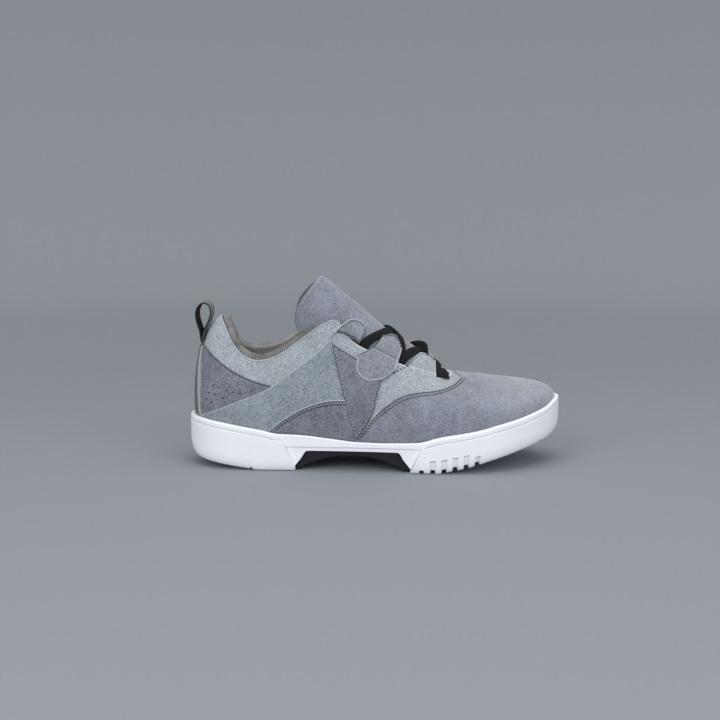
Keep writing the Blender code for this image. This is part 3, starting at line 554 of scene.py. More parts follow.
nubuckLight = suedeFinish("nubuckLight", {
    "dark": (130, 137, 142), "pale": (190, 198, 204), "deep": (70, 74, 78), "cut": (214, 218, 222), "stroke": 22.0,
    "seamShade": 0.5, "sheen": 0.10})
nubuckMid = suedeFinish("nubuckMid", {
    "dark": (107, 115, 121), "pale": (167, 176, 183), "deep": (52, 56, 60), "cut": (184, 190, 194), "stroke": 20.0,
    "clouding": 0.55, "seamShade": 0.55})
suedeDark = suedeFinish("suedeDark", {
    "dark": (89, 92, 100), "pale": (145, 149, 160), "deep": (40, 41, 46), "cut": (196, 201, 206), "stroke": 18.0,
    "clouding": 0.8, "streaks": 0.5, "specks": 2.8, "seamShade": 0.55, "sheen": 0.14, "bump": 0.7})
suedeVamp = suedeFinish("suedeVamp", {
    "dark": (96, 100, 109), "pale": (154, 159, 172), "deep": (44, 46, 51), "cut": (200, 205, 210), "stroke": 24.0,
    "clouding": 0.85, "streaks": 0.5, "specks": 2.3, "seamShade": 0.45, "sheen": 0.60, "bump": 0.7})
suedeTab = suedeFinish("suedeTab", {
    "dark": (103, 106, 113), "pale": (155, 159, 169), "deep": (56, 58, 63), "cut": (208, 212, 216), "stroke": 14.0})
suedeStrip = suedeFinish("suedeStrip", {
    "dark": (72, 78, 76), "pale": (116, 124, 121), "deep": (44, 48, 46), "cut": (186, 194, 190), "stroke": 16.0,
    "nap": 0.9, "streaks": 0.4, "specks": 1.7})

fullTurn = 6.2832  # one wave of a sine


def knitFinish(name, look):
    # rows of knitted loops: two crossed sine ribs, dark in the holes between them
    material, pen = startFinish(name)
    along, across = pen.weave()
    rib = (along * (fullTurn / look["rib"])).sine()
    course = (across * (fullTurn / look["course"]) + rib * 0.9).sine()
    height = rib * 0.55 + course * 0.45
    cloud = pen.noise(pen.place(), 12.0, 2.0)
    share = height * look.get("weave", 0.42) + look.get("base", 0.5) + (cloud - 0.5) * 0.6
    # painted light: the inside mark lifts the inner face of the lining, which the lamps barely reach
    share = share + pen.mark("inside") * look["lift"]
    colour = pen.blend(share, look["dark"], look["pale"])
    return endFinish(material, {"Sheen Weight": 0.15, "Specular IOR Level": 0.2}, colour=colour,
                     rough=cloud * 0.2 + 0.75, normal=pen.bump(height, 0.0005, 0.8))


# lift: painted light on the lining's inner face
liningKnit = knitFinish("liningKnit", {"dark": (58, 58, 59), "pale": (204, 202, 198), "rib": 1.9,
                                       "course": 1.3, "lift": 0.34, "base": 0.30, "weave": 0.26})
tongueKnit = knitFinish("tongueKnit", {"dark": (40, 40, 42), "pale": (96, 95, 95), "rib": 1.9,
                                       "course": 1.3, "lift": 0.0})
insoleCloth = knitFinish("insoleCloth", {"dark": (52, 53, 56), "pale": (86, 88, 92), "rib": 1.2,
                                         "course": 1.2, "lift": 0.0})


def braidFinish(name, look):
    # flat braid: slanted yarns that mirror at the middle line
    material, pen = startFinish(name)
    along, across = pen.weave()
    slant = along + across.size() * look["slope"]
    yarn = (slant * (fullTurn / look["yarn"])).sine()
    pick = (across * (fullTurn / look["pick"])).sine()
    height = yarn * 0.7 + pick * 0.3
    cloud = pen.noise(pen.place(), 6.0, 2.0)
    share = height * 0.35 + 0.5 + (cloud - 0.5) * 0.5
    colour = pen.blend(share, look["dark"], look["pale"])
    colour = pen.blend(pen.mark("edge") * look["edgeShare"], colour, look["edge"])
    return endFinish(material, {"Sheen Weight": 0.03, "Specular IOR Level": 0.2}, colour=colour,
                     rough=cloud * 0.2 + 0.65, normal=pen.bump(height, 0.00035, 0.7))


laceBraid = braidFinish("laceBraid", {"dark": (6, 6, 7), "pale": (30, 30, 32), "edge": (60, 60, 63), "slope": 0.8,
                                      "yarn": 1.5, "pick": 1.3, "edgeShare": 0.15})
webBlack = braidFinish("webBlack", {"dark": (14, 15, 16), "pale": (38, 40, 41), "edge": (16, 17, 18), "slope": 0.0,
                                    "yarn": 1.1, "pick": 2.2, "edgeShare": 0.7})
webGrey = braidFinish("webGrey", {"dark": (96, 101, 102), "pale": (146, 151, 152), "edge": (34, 36, 36),
                                  "slope": 0.0, "yarn": 1.1, "pick": 2.2, "edgeShare": 0.8})


def threadFinish(name, dark, pale):
    # twisted thread: slanted sine bands in the shoe's own place
    material, pen = startFinish(name)
    x, _, z = pen.parts(pen.place())
    twist = ((x + z) * 11.0).sine()
    colour = pen.blend(twist * 0.5 + 0.5, dark, pale)
    return endFinish(material, {"Specular IOR Level": 0.3}, colour=colour, rough=twist * 0.08 + 0.6,
                     normal=pen.bump(twist, 0.0001, 0.5))


threadDark = threadFinish("threadDark", (34, 36, 40), (60, 62, 67))
threadGrey = threadFinish("threadGrey", (124, 128, 134), (190, 194, 199))
# painted shade for the inside of the punched holes
holeShadow = threadFinish("holeShadow", (22, 22, 24), (34, 34, 37))


def rubberFinish(name, look):
    # moulded rubber: faint clouds, fine grain, ripples on the tread
    material, pen = startFinish(name)
    place = pen.place()
    cloud = pen.noise(place, 30.0, 3.0)
    grain = pen.noise(place, 0.7, 2.0)
    scuff = pen.noise(pen.place((160.0, 1000.0, 1000.0)), 2.4, 3.0, 0.65).between(0.6, 0.78)
    colour = pen.blend(cloud, look["dark"], look["pale"])
    colour = pen.blend(scuff * look["scuff"], colour, look["worn"])
    x, y, _ = pen.parts(place)
    ripple = ((x + (y * 0.5).sine() * 1.6) * (fullTurn / look["ripple"])).sine() * pen.mark("under")
    height = grain * look["grain"] + ripple * 2.5 + scuff * look["scuff"] * 0.4
    return endFinish(material, {"Specular IOR Level": look["shine"]}, colour=colour,
                     rough=(grain - 0.5) * 0.25 + scuff * look["scuff"] * 0.3 + look["rough"],
                     normal=pen.bump(height, 0.0002, 0.6))


soleRubber = rubberFinish("soleRubber", {"dark": (240, 242, 248), "pale": (249, 250, 253), "worn": (226, 228, 234),
                                         "scuff": 0.15, "grain": 0.4, "rough": 0.52, "shine": 0.4, "ripple": 3.2})
platePlastic = rubberFinish("platePlastic", {"dark": (15, 15, 16), "pale": (27, 27, 29), "worn": (58, 58, 60),
                                             "scuff": 0.4, "grain": 0.7, "rough": 0.42, "shine": 0.45, "ripple": 3.2})
print("finishes ready,", len(bpy.data.materials))

threadRuns = {"dark": [], "grey": []}
# along, girth and dip are the four rings of one stitch, as shares of half its length and of its radius.
stitch = {"length": 1.7, "pitch": 2.6, "radius": 0.42, "sides": 6, "reach": 0.3, "along": (-1.0, -0.62, 0.62, 1.0),
          "girth": (0.35, 1.0, 1.0, 0.35), "dip": (-0.55, 0.1, 0.1, -0.55), "flat": 0.8}


def sewLine(thread, points, normals):
    # marks equal steps along a line and keeps each stitch's middle, direction and normal
    length = runLength(points, 0)
    count = int(length[-1] // stitch["pitch"])
    if count < 1:
        return
    stop = (np.arange(count) + 0.5) * length[-1] / count

    def at(place, table):
        return np.stack([np.interp(place, length, column) for column in table.T], axis=-1)

    run = unit(at(stop + stitch["reach"], points) - at(stop - stitch["reach"], points))
    threadRuns[thread].append(np.stack((at(stop, points), run, unit(at(stop, normals))), axis=1))


def makeStitches(thread, finish):
    # one joined mesh of short rods, thin at the ends, which dip into the leather
    rows = np.concatenate(threadRuns[thread])
    middle, run, normal = rows[:, 0], rows[:, 1], rows[:, 2]
    side = unit(np.cross(run, normal))
    share = np.array(stitch["along"])
    girth, dip = np.array(stitch["girth"]) * stitch["radius"], np.array(stitch["dip"]) * stitch["radius"]
    angle = circle(stitch["sides"])
    ring = side[:, None, None] * np.cos(angle)[None, None, :, None]
    ring = ring + normal[:, None, None] * np.sin(angle)[None, None, :, None] * stitch["flat"]
    points = middle[:, None, None] + run[:, None, None] * (share * stitch["length"] * 0.5)[None, :, None, None]
    points = points + normal[:, None, None] * dip[None, :, None, None] + ring * girth[None, :, None, None]
    rod = gridQuads(4, stitch["sides"], loopColumns=True)
    last = 3 * stitch["sides"]
    caps = np.array(((3, 2, 1, 0), (5, 4, 3, 0), (last, last + 1, last + 2, last + 3),
                     (last, last + 3, last + 4, last + 5)))
    quads = np.concatenate((rod, caps))
    each = 4 * stitch["sides"]
    quads = (np.arange(len(rows))[:, None, None] * each + quads[None]).reshape(-1, 4)
    putPiece(thread + "Stitches", points, quads, [finish])


def evenTurns(count):
    # equal steps of length round the feather line, from the heel
    u = np.linspace(0.0, loop, loop * perStation + 1)
    length = runLength(lastSection(u)[:, :2], 0)
    return np.interp(np.linspace(0.0, length[-1], count, endpoint=False), length, u)


# eyestayShade: painted shade on the lacing part, which faces the top lamp and comes in between the two x of eyestayX;
# fold: run of painted shade in from the folded top edge; throat: u where the cut edge starts on each side.
upperLook = {"turns": 380, "outerRows": 64, "innerRows": 30, "rimRows": 9, "fold": 1.2, "cut": 0.9,
             "eyestayShade": 0.2, "eyestayX": (4.0, 24.0), "throat": (6.0, 6.6, -22.0, -21.4)}


def makeUpper():
    # outside up the Bezier, half a circle over the edge, inside back down, closed under the footbed
    u = evenTurns(upperLook["turns"])[:, None]
    wall = lastForm["wall"]
    outer = np.sin(np.linspace(0.0, np.pi / 2.0, upperLook["outerRows"]))
    outer = np.concatenate((np.linspace(-1.0, -0.06, 5), outer))[None, :]
    inner = np.linspace(1.0, -1.0, upperLook["innerRows"])[None, :]
    top = upperPoint(u, np.ones_like(u))
    edge = unit(top - upperPoint(u, np.full_like(u, nearTop)))
    normal = upperNormal(u, np.ones_like(u))
    angle = np.linspace(0.0, np.pi, upperLook["rimRows"])[1:-1][None, :, None]
    rise = creaseRise(top)[..., None]
    rim = top + normal * (rise - wall * 0.5) + (normal * np.cos(angle) + edge * np.sin(angle)) * wall * 0.5
    grownU, grownH = np.broadcast_arrays(u, outer)
    outside = skin(grownU, grownH, np.zeros(grownU.shape))
    lowU, lowH = np.broadcast_arrays(u, inner)
    inside = upperPoint(lowU, lowH) - upperNormal(lowU, lowH) * wall
    points = np.concatenate((outside, rim, inside), axis=1)
    rows, columns = points.shape[:2]
    toEdge = runLength(outside, 1)
    toEdge = toEdge[:, -1:] - toEdge
    throat = smoothStep(*upperLook["throat"][:2], u) * smoothStep(*upperLook["throat"][2:], -u)
    pad = np.zeros((rows, columns - outside.shape[1]))
    raw = np.concatenate((bell(toEdge, upperLook["cut"]) * throat, pad + throat * 0.7), axis=1)
    # painted shade: the lacing part, and a band in from the folded top edge away from the throat
    eyestayShade = upperLook["eyestayShade"] * smoothStep(*upperLook["eyestayX"], outside[..., 0])
    shade = bell(toEdge, upperLook["fold"]) * 0.5 * (1.0 - throat)
    shade = np.concatenate((np.maximum(shade, eyestayShade), pad), axis=1)
    quads = gridQuads(rows, columns, True, True)
    cell = np.broadcast_to(np.arange(columns)[None, :], (rows, columns)).reshape(-1)
    around = runLength(lastSection(np.append(u[:, 0], loop))[:, :2], 0)
    up = np.append(runLength(points[:1], 1)[0], 0.0)
    uv = gridCorners(pairGrid(around[:, None], up[None, :]))
    putPiece("upperShell", points, quads, [nubuckLight, liningKnit], ["upper"], uv,
             {"raw": raw, "shade": shade}, cell >= outside.shape[1] + rim.shape[1] // 2)


makeUpper()
print("upper shell made")

# Overlays. rows: the low edge x, z then the high edge x, z; lip stands for the height of the lip. height: the sheet
# over the upper; round: its edge; sewn: edge, inset and thread of each stitch row; raw: edges that show the cut,
# cutWide: its width; dim: shade at the low edge and its run; rim: shade at both long edges; fold: a line x, z to x, z
# above which the sheet steps down, the step and its shade; flush: run over which the low edge sinks in.
panels = {
    "quarter": {
        "rows": ((-139.2, "lip", -139.0, 41.4), (-116.0, "lip", -112.0, 53.1), (-97.0, "lip", -92.0, 61.3),
                 (-80.5, "lip", -80.9, 66.9), (-63.0, "lip", -67.7, 76.8), (-46.0, "lip", -54.5, 86.7),
                 (-28.0, "lip", -43.5, 95.5), (-14.0, "lip", -34.8, 104.8)),
        "grid": (120, 60), "height": 1.3, "round": 0.8, "finish": nubuckMid, "slot": "nubuck_mid",
        "sewn": (("high", 1.1, "grey"),), "raw": ("high",)},
    "counter": {
        "rows": ((-139.6, 40.8, -138.8, 98.6), (-128.0, 45.3, -125.6, 87.2), (-112.0, 52.0, -112.0, 78.2),
                 (-97.0, 58.2, -98.6, 72.0), (-82.0, 65.2, -82.6, 67.6)),
        "grid": (90, 70), "height": 0.8, "round": 0.8, "finish": suedeDark, "slot": "suede_dark",
        "sewn": (("high", 1.4, "dark"),), "raw": ()},
    "mudguard": {
        "rows": ((-84.0, "lip", -83.8, 32.6), (-72.0, "lip", -72.0, 41.5), (-58.0, "lip", -58.5, 49.5),
                 (-44.0, "lip", -45.5, 54.6), (-30.0, "lip", -33.0, 56.8), (-16.0, "lip", -21.0, 57.0)),
        "grid": (90, 50), "height": 1.9, "round": 0.9, "finish": suedeDark, "slot": "suede_dark",
        "sewn": (("high", 1.5, "dark"), ("high", 3.9, "dark")), "raw": ("high",)},
    "side_stay": {
        "rows": ((-34.3, 100.9, -13.5, 86.6), (-31.5, 86.9, -11.5, 80.5), (-29.6, 78.0, -8.0, 75.2),
                 (-27.6, 69.6, -2.0, 72.2), (-26.4, 64.0, 3.4, 70.4), (-24.3, 55.5, 0.7, 60.8),
                 (-22.4, 47.5, -1.4, 51.2), (-20.5, 40.1, -5.1, 41.4), (-18.4, 33.0, -10.6, 32.6),
                 (-16.0, 25.0, -15.5, 24.8)),
        "grid": (120, 60), "height": 2.5, "round": 0.9, "finish": suedeDark, "slot": "suede_dark",
        "sewn": (("low", 1.7, "grey"), ("high", 1.7, "grey"), ("start", 1.2, "dark")), "raw": (), "rim": 0.9},
    "lace_tab_1": {
        "rows": ((-35.3, 104.2, -35.0, 104.8), (-31.3, 108.6, -30.9, 110.3), (-27.1, 108.2, -25.7, 115.4),
                 (-22.4, 105.7, -19.6, 118.0), (-17.6, 102.9, -12.8, 116.3), (-12.9, 99.8, -8.1, 112.1)),
        "grid": (70, 60), "height": 1.3, "round": 0.8, "finish": nubuckMid, "slot": "nubuck_mid",
        "sewn": (("high", 1.7, "dark"), ("low", 0.9, "dark")), "raw": ("high",), "dim": (0.75, 5.5)},
    "lace_tab_2": {
        "rows": ((-16.2, 88.4, -15.4, 90.9), (-16.4, 81.2, -4.2, 95.1), (-12.8, 74.4, 1.6, 99.8),
                 (-5.8, 70.6, 5.9, 104.8), (3.1, 71.2, 12.1, 105.0), (10.7, 75.4, 18.4, 100.4),
                 (14.9, 78.2, 20.6, 93.4)),
        "grid": (90, 90), "height": 3.1, "round": 0.9, "finish": suedeTab, "slot": "nubuck_mid",
        # the dark row 0.2 in from the low edge paints the shadow the tab casts on the panel under it
        "sewn": (("high", 1.5, "dark"), ("low", 0.2, "dark")), "raw": ("end", "low"), "cutWide": 1.4,
        "fold": (-4.0, 95.4, 15.0, 85.6, 1.7, 0.9)},
    "lace_tab_3": {
        "rows": ((24.5, 77.3, 26.4, 82.2), (30.3, 74.7, 30.8, 87.2), (36.0, 72.2, 35.9, 90.3),
                 (42.1, 69.6, 42.4, 88.0), (47.5, 67.8, 48.0, 83.0)),
        "grid": (70, 60), "height": 1.3, "round": 0.8, "finish": nubuckLight, "slot": "nubuck_light",
        "sewn": (("high", 1.5, "dark"),), "raw": ("high", "end"), "fold": (26.0, 81.4, 47.5, 74.4, 0.35, 0.45),
        "flush": 4.0},
}

# The same for all overlays: depth under the upper's surface, puff of the middle, stitch rows with painted shade in
# their dips, cut edge.
sheetForm = {"sunk": 0.7, "puff": 0.22, "puffRun": 5.0, "seamDeep": 0.22, "seamWide": 0.6, "seamShade": 0.35,
             "threadRise": 0.16, "cutWide": 1.1, "lipRun": (-0.6, 1.8), "lipThin": 0.2}


def sewRow(u, h, top, edges, row, sewGap):
    # one stitch row: on each ruling that is long enough, the place at the row's inset from its edge
    edge, inset, thread = row
    turned, flipped = edge in ("start", "end"), edge in ("high", "end")
    distance = edges[edge].T if turned else edges[edge]
    order = distance[:, ::-1] if flipped else distance
    spots = np.array([np.interp(inset, line, np.arange(len(line))) for line in order])
    spots = distance.shape[1] - 1.0 - spots if flipped else spots
    if turned:
        keep = (edges["low"][0] > inset * 0.7) & (edges["high"][0] > inset * 0.7)
    else:
        keep = (edges["start"].min(1) > inset * 0.7) & (edges["end"].min(1) > inset * 0.7)
        keep &= (edges["low"][:, -1] > inset * 1.8) & (np.abs(u[:, -1] - stations) > sewGap)
    lines = np.flatnonzero(keep)
    left = np.clip(spots[keep].astype(int), 0, distance.shape[1] - 2)
    share = spots[keep] - left

    def pick(grid):
        grid = grid.T if turned else grid
        return grid[lines, left] * (1.0 - share) + grid[lines, left + 1] * share

    if len(lines) > 4:
        pathU, pathH = pick(u), pick(h)
        path, normals = skin(pathU, pathH, pick(top) + sheetForm["threadRise"]), upperNormal(pathU, pathH)
        breaks = np.flatnonzero(np.diff(lines) > 1) + 1
        for points, lean in zip(np.split(path, breaks), np.split(normals, breaks)):
            sewLine(thread, points, lean)


def layPanel(name, u, h, look, nodes):
    # a sheet over the upper: height follows a quarter circle in from each edge, dips under the stitch rows,
    # thins towards the lip; the underside mirrors it below the upper's surface
    base = upperPoint(u, h)
    x, overLip = base[..., 0], base[..., 2] - lipHeight(base[..., 0])
    across, along = runLength(base, 1), runLength(base, 0)
    edges = {"low": across, "high": across[:, -1:] - across, "start": along, "end": along[-1:] - along}
    inward = np.minimum(edges["high"], np.minimum(edges["start"], edges["end"]))
    if "flush" not in look:
        inward = np.minimum(inward, edges["low"])
    bow = edgeRound(inward + 0.03, look["round"])
    half = 0.5 * (look["height"] + sheetForm["sunk"])
    middle = look["height"] - half
    above = smoothStep(*sheetForm["lipRun"], overLip) * (1.0 - sheetForm["lipThin"]) + sheetForm["lipThin"]
    top = middle + half * bow + sheetForm["puff"] * (1.0 - np.exp(-inward / sheetForm["puffRun"]))
    if "flush" in look:
        top = top * smoothStep(0.0, look["flush"], edges["low"]) - 0.15 * smoothStep(1.0, 0.0, edges["low"])
    # painted shade in the shade mark: along the rims, above a fold, at the low edge and in the stitch dips
    shade, raw = np.zeros(u.shape), np.zeros(u.shape)
    if "rim" in look:
        shade = shade + look["rim"] * bell(np.minimum(edges["low"], edges["high"]), 0.7)
    if "fold" in look:
        x0, z0, x1, z1, step, dark = look["fold"]
        over = ((base[..., 2] - z0) * (x1 - x0) - (x - x0) * (z1 - z0)) / np.hypot(x1 - x0, z1 - z0)
        top = top - step * smoothStep(-0.3, 0.3, over)
        shade = shade + dark * np.exp(-np.maximum(over, 0.0) / 3.0) * (over > -0.1)
        raw = 0.35 * bell(over + 0.6, 0.45)
    if "dim" in look:
        shade = shade + look["dim"][0] * np.exp(-edges["low"] / look["dim"][1])
    for row in look["sewn"]:
        dip = bell(edges[row[0]] - row[1], sheetForm["seamWide"])
        top = top - sheetForm["seamDeep"] * dip
        shade = shade + sheetForm["seamShade"] * dip
        sewRow(u, h, top * above, edges, row, look.get("sewGap", -1.0))
    for edge in look["raw"]:
        raw = np.maximum(raw, bell(edges[edge], look.get("cutWide", sheetForm["cutWide"])))
    if "flush" in look:
        raw = raw * smoothStep(2.0, 6.0, edges["low"])
    if "rawTo" in look:
        raw = raw * (1.0 - smoothStep(look["rawTo"] - 6.0, look["rawTo"], x))
    # painted highlight over the toe top, carried in the raw mark
    if "toeHighlight" in look:
        start, stop, most = look["toeHighlight"]
        raw = np.maximum(raw, most * smoothStep(start, stop, x) * smoothStep(-6.0, 10.0, overLip))
    under = (middle - half * bow) * above - 0.05
    shade = np.minimum(shade, 1.0)
    putPiece(name, np.stack((skin(u, h, top * above), skin(u, h, under))), sheetQuads(*u.shape), [look["finish"]],
             nodes, None, {"raw": np.stack((raw, raw)), "shade": np.stack((shade, shade))})


def ruledPlace(rows, side, grid):
    # straight rulings between two edge curves in side view, brought onto the upper
    table = [(x0, float(lipHeight(x0)) - 0.4 if z0 == "lip" else z0, x1, z1) for x0, z0, x1, z1 in rows]
    edges = alongRows(table, spread(grid[0]))
    v = spread(grid[1])[None, :]
    return locate(edges[:, 0:1] * (1.0 - v) + edges[:, 2:3] * v, edges[:, 1:2] * (1.0 - v) + edges[:, 3:4] * v, side)


sideNames = ((-1, "lateral"), (1, "medial"))
for node, panelLook in panels.items():
    for side, sideName in sideNames:
        placeU, placeH = ruledPlace(panelLook["rows"], side, panelLook["grid"])
        pieceName = node.replace("_", "") + sideName.capitalize()
        layPanel(pieceName, placeU, placeH, panelLook, [node + "_" + sideName])
print("side panels made")

# front: u, h of the edge over the toe; sewGap: no stitches this near the toe's middle; toeHighlight: painted highlight
# over the toe top in the cut's pale tone, from x to x, and its share; rawTo: the cut shows up to this x.
vampLook = {
    "edge": ((-15.3, 24.7), (-7.4, 36.9), (0.3, 46.5), (4.2, 49.8), (9.5, 53.7), (16.2, 58.2), (23.7, 61.2),
             (33.1, 62.6), (42.6, 62.9), (50.3, 63.5), (58.4, 64.9), (63.6, 66.9), (66.4, 68.3)),
    "front": ((12.8, 0.945), (13.3, 0.968), (14.0, 0.982)), "samples": 2001, "grid": (280, 70),
    "height": 1.4, "round": 0.9,
    "finish": suedeVamp, "slot": "suede_dark", "sewn": (("high", 1.6, "dark"), ("high", 4.0, "dark")),
    "raw": ("high",), "rawTo": 6.0, "sewGap": 1.75, "toeHighlight": (72.0, 125.0, 0.22)}


def makeVamp():
    # columns round the toe from tip to tip; each runs from under the lip to the stitched edge
    edgeX, edgeZ = np.array(vampLook["edge"]).T
    uLeft, hLeft = locate(edgeX, edgeZ, -1)
    uRight, hRight = locate(edgeX, edgeZ, 1)
    frontU, frontH = np.array(vampLook["front"]).T
    knotsU = np.concatenate((uLeft, frontU, loop - frontU[-2::-1], uRight[::-1]))
    knotsH = np.concatenate((hLeft, frontH, frontH[-2::-1], hRight[::-1]))
    top = smoothLine(np.column_stack((knotsU, knotsH)))
    u = np.linspace(uLeft[0], uRight[0], vampLook["samples"])
    length = runLength(lastSection(u)[:, :2], 0)
    u = np.interp(spread(vampLook["grid"][0]) * length[-1], length, u)[:, None]
    v = np.sin(np.linspace(0.0, np.pi / 2.0, vampLook["grid"][1]))[None, :]
    h = -0.03 * (1.0 - v) + top(u) * v
    layPanel("vampPanel", np.broadcast_to(u, h.shape).copy(), h, vampLook, ["vamp"])


makeVamp()

backstayLook = {"reach": ((0.0, 1.00), (0.28, 0.80), (0.48, 0.60), (0.61, 0.50)), "grid": (50, 60), "height": 1.6,
                "round": 0.9, "finish": suedeStrip, "slot": "nubuck_mid",
                "sewn": (("start", 1.4, "grey"), ("end", 1.4, "grey")), "raw": ("start", "end")}


def makeBackstay():
    # strip over the heel, its half width a smooth function of height
    table = backstayLook["reach"]
    h = np.linspace(-0.02, table[-1][0], backstayLook["grid"][1])[None, :]
    u = (2.0 * spread(backstayLook["grid"][0]) - 1.0)[:, None] * smoothLine(table)(h)
    layPanel("backstayStrip", u, np.broadcast_to(h, u.shape).copy(), backstayLook, ["backstay"])


makeBackstay()
print("vamp and backstay made")

# Punched holes of the counter, in side view, drawn as dark discs: painted shade for the inside of each hole.
# ring and sink: radius share and height of each row of the dish.
holes = {
    "radius": 0.68, "sides": 12, "height": 1.06, "ring": (1.0, 0.8, 0.02), "sink": (0.10, 0.06, -0.05), "back": 0.4,
    "counter": ((-128.1, 66.3), (-124.0, 64.5), (-117.4, 63.1), (-111.9, 61.7), (-106.5, 60.9), (-131.7, 59.9),
                (-126.6, 59.2), (-120.4, 56.8), (-133.8, 55.0), (-129.6, 52.7)),
}


def makeHoles():
    # small dished discs laid on the panels, deeper towards the middle, dark with painted shade for the hole's inside
    spots = np.array(holes["counter"])
    share, sink = np.array(holes["ring"]), np.array(holes["sink"])
    angle = circle(holes["sides"])
    points = []
    for side, _ in sideNames:
        u, h = locate(spots[:, 0], spots[:, 1], side)
        middle, normal = skin(u, h, np.full(u.shape, holes["height"])), upperNormal(u, h)
        run = unit(upperPoint(u + probe["u"], h) - upperPoint(u - probe["u"], h))
        other = np.cross(normal, run)
        ring = run[:, None] * np.cos(angle)[None, :, None] + other[:, None] * np.sin(angle)[None, :, None]
        disc = middle[:, None, None] + ring[:, None] * (share * holes["radius"])[None, :, None, None]
        disc = disc + normal[:, None, None] * sink[None, :, None, None]
        back = middle[:, None, None] + ring[:, None] * holes["radius"] - normal[:, None, None] * holes["back"]
        points.append(np.concatenate((disc, back), axis=1))
    points = np.concatenate(points)
    cup = gridQuads(4, holes["sides"], True, True)
    quads = (np.arange(len(points))[:, None, None] * 4 * holes["sides"] + cup[None]).reshape(-1, 4)
    putPiece("punchedHoles", points, quads, [holeShadow])


makeHoles()

# A seam on the light leather from the middle tab to the next one, in side view.
seamLook = {"line": ((13.0, 76.6), (16.4, 78.2), (19.8, 79.5), (25.5, 81.7)), "lift": 0.2, "samples": 60}


def sewSeams():
    # a smooth line in side view, brought onto the upper and sewn
    line = openSpline(seamLook["line"])(np.linspace(0.0, len(seamLook["line"]) - 1.0, seamLook["samples"]))
    for side, _ in sideNames:
        u, h = locate(line[:, 0], line[:, 1], side)
        sewLine("dark", skin(u, h, np.full(u.shape, seamLook["lift"])), upperNormal(u, h))


sewSeams()

# Collar lining. rows: height on the upper, rise over the edge, depth in from the wall; end and endRun in u; girth
# closes the texture.
liningLook = {
    "rows": ((0.56, 0.0, 0.0), (0.76, 0.0, 0.0), (0.97, 0.0, 0.0), (1.00, 3.2, 0.6), (1.00, 5.4, 2.0),
             (1.00, 6.0, 3.8), (1.00, 4.8, 6.0), (1.00, 2.0, 7.3), (0.93, 0.0, 7.4), (0.80, 0.0, 6.2),
             (0.68, 0.0, 4.2), (0.57, 0.0, 2.2)),
    "end": 5.85, "endRun": 0.35, "girth": 62.0, "turns": 280, "around": 56, "fill": 0.7,
}


def makeLining():
    # a closed padded section carried round the collar; it shrinks to a soft end at both front corners
    table = np.array(liningLook["rows"])
    section = closedSpline(table)(np.linspace(0.0, len(table), liningLook["around"], endpoint=False))
    end = liningLook["end"]
    u = np.linspace(-end, end, liningLook["turns"])[:, None]
    row = lastSection(u[:, 0])
    pad, roll = row[:, 9:10], row[:, 10:11]
    u, h = np.broadcast_arrays(u, section[None, :, 0])
    edge = unit(upperPoint(u, np.ones_like(u)) - upperPoint(u, np.full_like(u, nearTop)))
    depth = lastForm["wall"] + 2.0 * lastForm["gap"] + np.maximum(section[None, :, 2], 0.0) * pad
    points = upperPoint(u, h) - upperNormal(u, h) * depth[..., None]
    points = points + edge * (np.maximum(section[None, :, 1], 0.0) * roll)[..., None]
    ending = np.clip((np.abs(u[:, :1]) - end + liningLook["endRun"]) / liningLook["endRun"], 0.0, 1.0)
    close = np.sqrt(np.clip(1.0 - ending ** 2, 0.004, 1.0))
    middle = points.mean(axis=1, keepdims=True)
    points = middle + (points - middle) * close[..., None]
    rows, columns = u.shape
    around = np.append(runLength(points[rows // 2:rows // 2 + 1], 1)[0], liningLook["girth"])
    along = runLength(points[:, columns // 2][:, None], 0)[:, 0]
    quads, uv = cappedTube(pairGrid(along[:, None], around[None, :]))
    # the inner face, which the knit lifts with painted light
    inside = smoothStep(3.0, 6.5, np.broadcast_to(section[None, :, 2], u.shape))
    lining = putPiece("collarPadding", points, quads, [liningKnit], ["collar_lining"],
                      uv, {"inside": inside})


makeLining()
print("collar lining made")

# Tongue stations: ridge x and z, half width, drop of the side, sweep of the section in degrees.
tongueLook = {
    "rows": ((74.0, 66.0, 17.0, 6.0, 66.0), (59.0, 71.0, 22.0, 17.0, 68.0), (48.0, 81.6, 25.0, 29.0, 70.0),
             (30.0, 95.2, 27.4, 37.0, 73.0), (9.3, 108.3, 27.6, 40.0, 75.0), (-10.0, 125.0, 24.6, 41.0, 86.0),
             (-31.0, 142.3, 23.6, 41.0, 95.0), (-43.2, 152.6, 25.6, 39.0, 98.0)),
    "thick": (4.0, 7.5), "rimRound": 0.12, "slip": 1.6, "grid": (150, 110), "fill": 0.6,
    "sideThin": 0.45, "seam": 3.4, "seamWide": 0.9, "seamDeep": 0.35, "lowRimDark": 1.4,
}
tongueRow = openSpline(tongueLook["rows"])
tongueEnd = len(tongueLook["rows"]) - 1.0


def tonguePoint(s, w):
    # arch across the ridge line: the side falls square to the ridge by drop times one minus the cosine
    s, w = np.broadcast_arrays(np.asarray(s, dtype=float), np.asarray(w, dtype=float))
    x, z, half, drop, sweep = np.moveaxis(tongueRow(s), -1, 0)
    run = unit(tongueRow(s + probe["ridge"])[..., :2] - tongueRow(s - probe["ridge"])[..., :2])
    angle = np.radians(sweep) * w
    fall = drop * (1.0 - np.cos(angle))
    return np.stack((x - run[..., 1] * fall, half * np.sin(angle), z + run[..., 0] * fall), axis=-1)


def tongueNormal(s, w):
    # outward normal, the cross product of the two tangents
    after, before = np.minimum(s + probe["ridge"], tongueEnd), np.maximum(s - probe["ridge"], 0.0)
    across = tonguePoint(s, w + probe["w"]) - tonguePoint(s, w - probe["w"])
    return unit(np.cross(across, tonguePoint(after, w) - tonguePoint(before, w)))


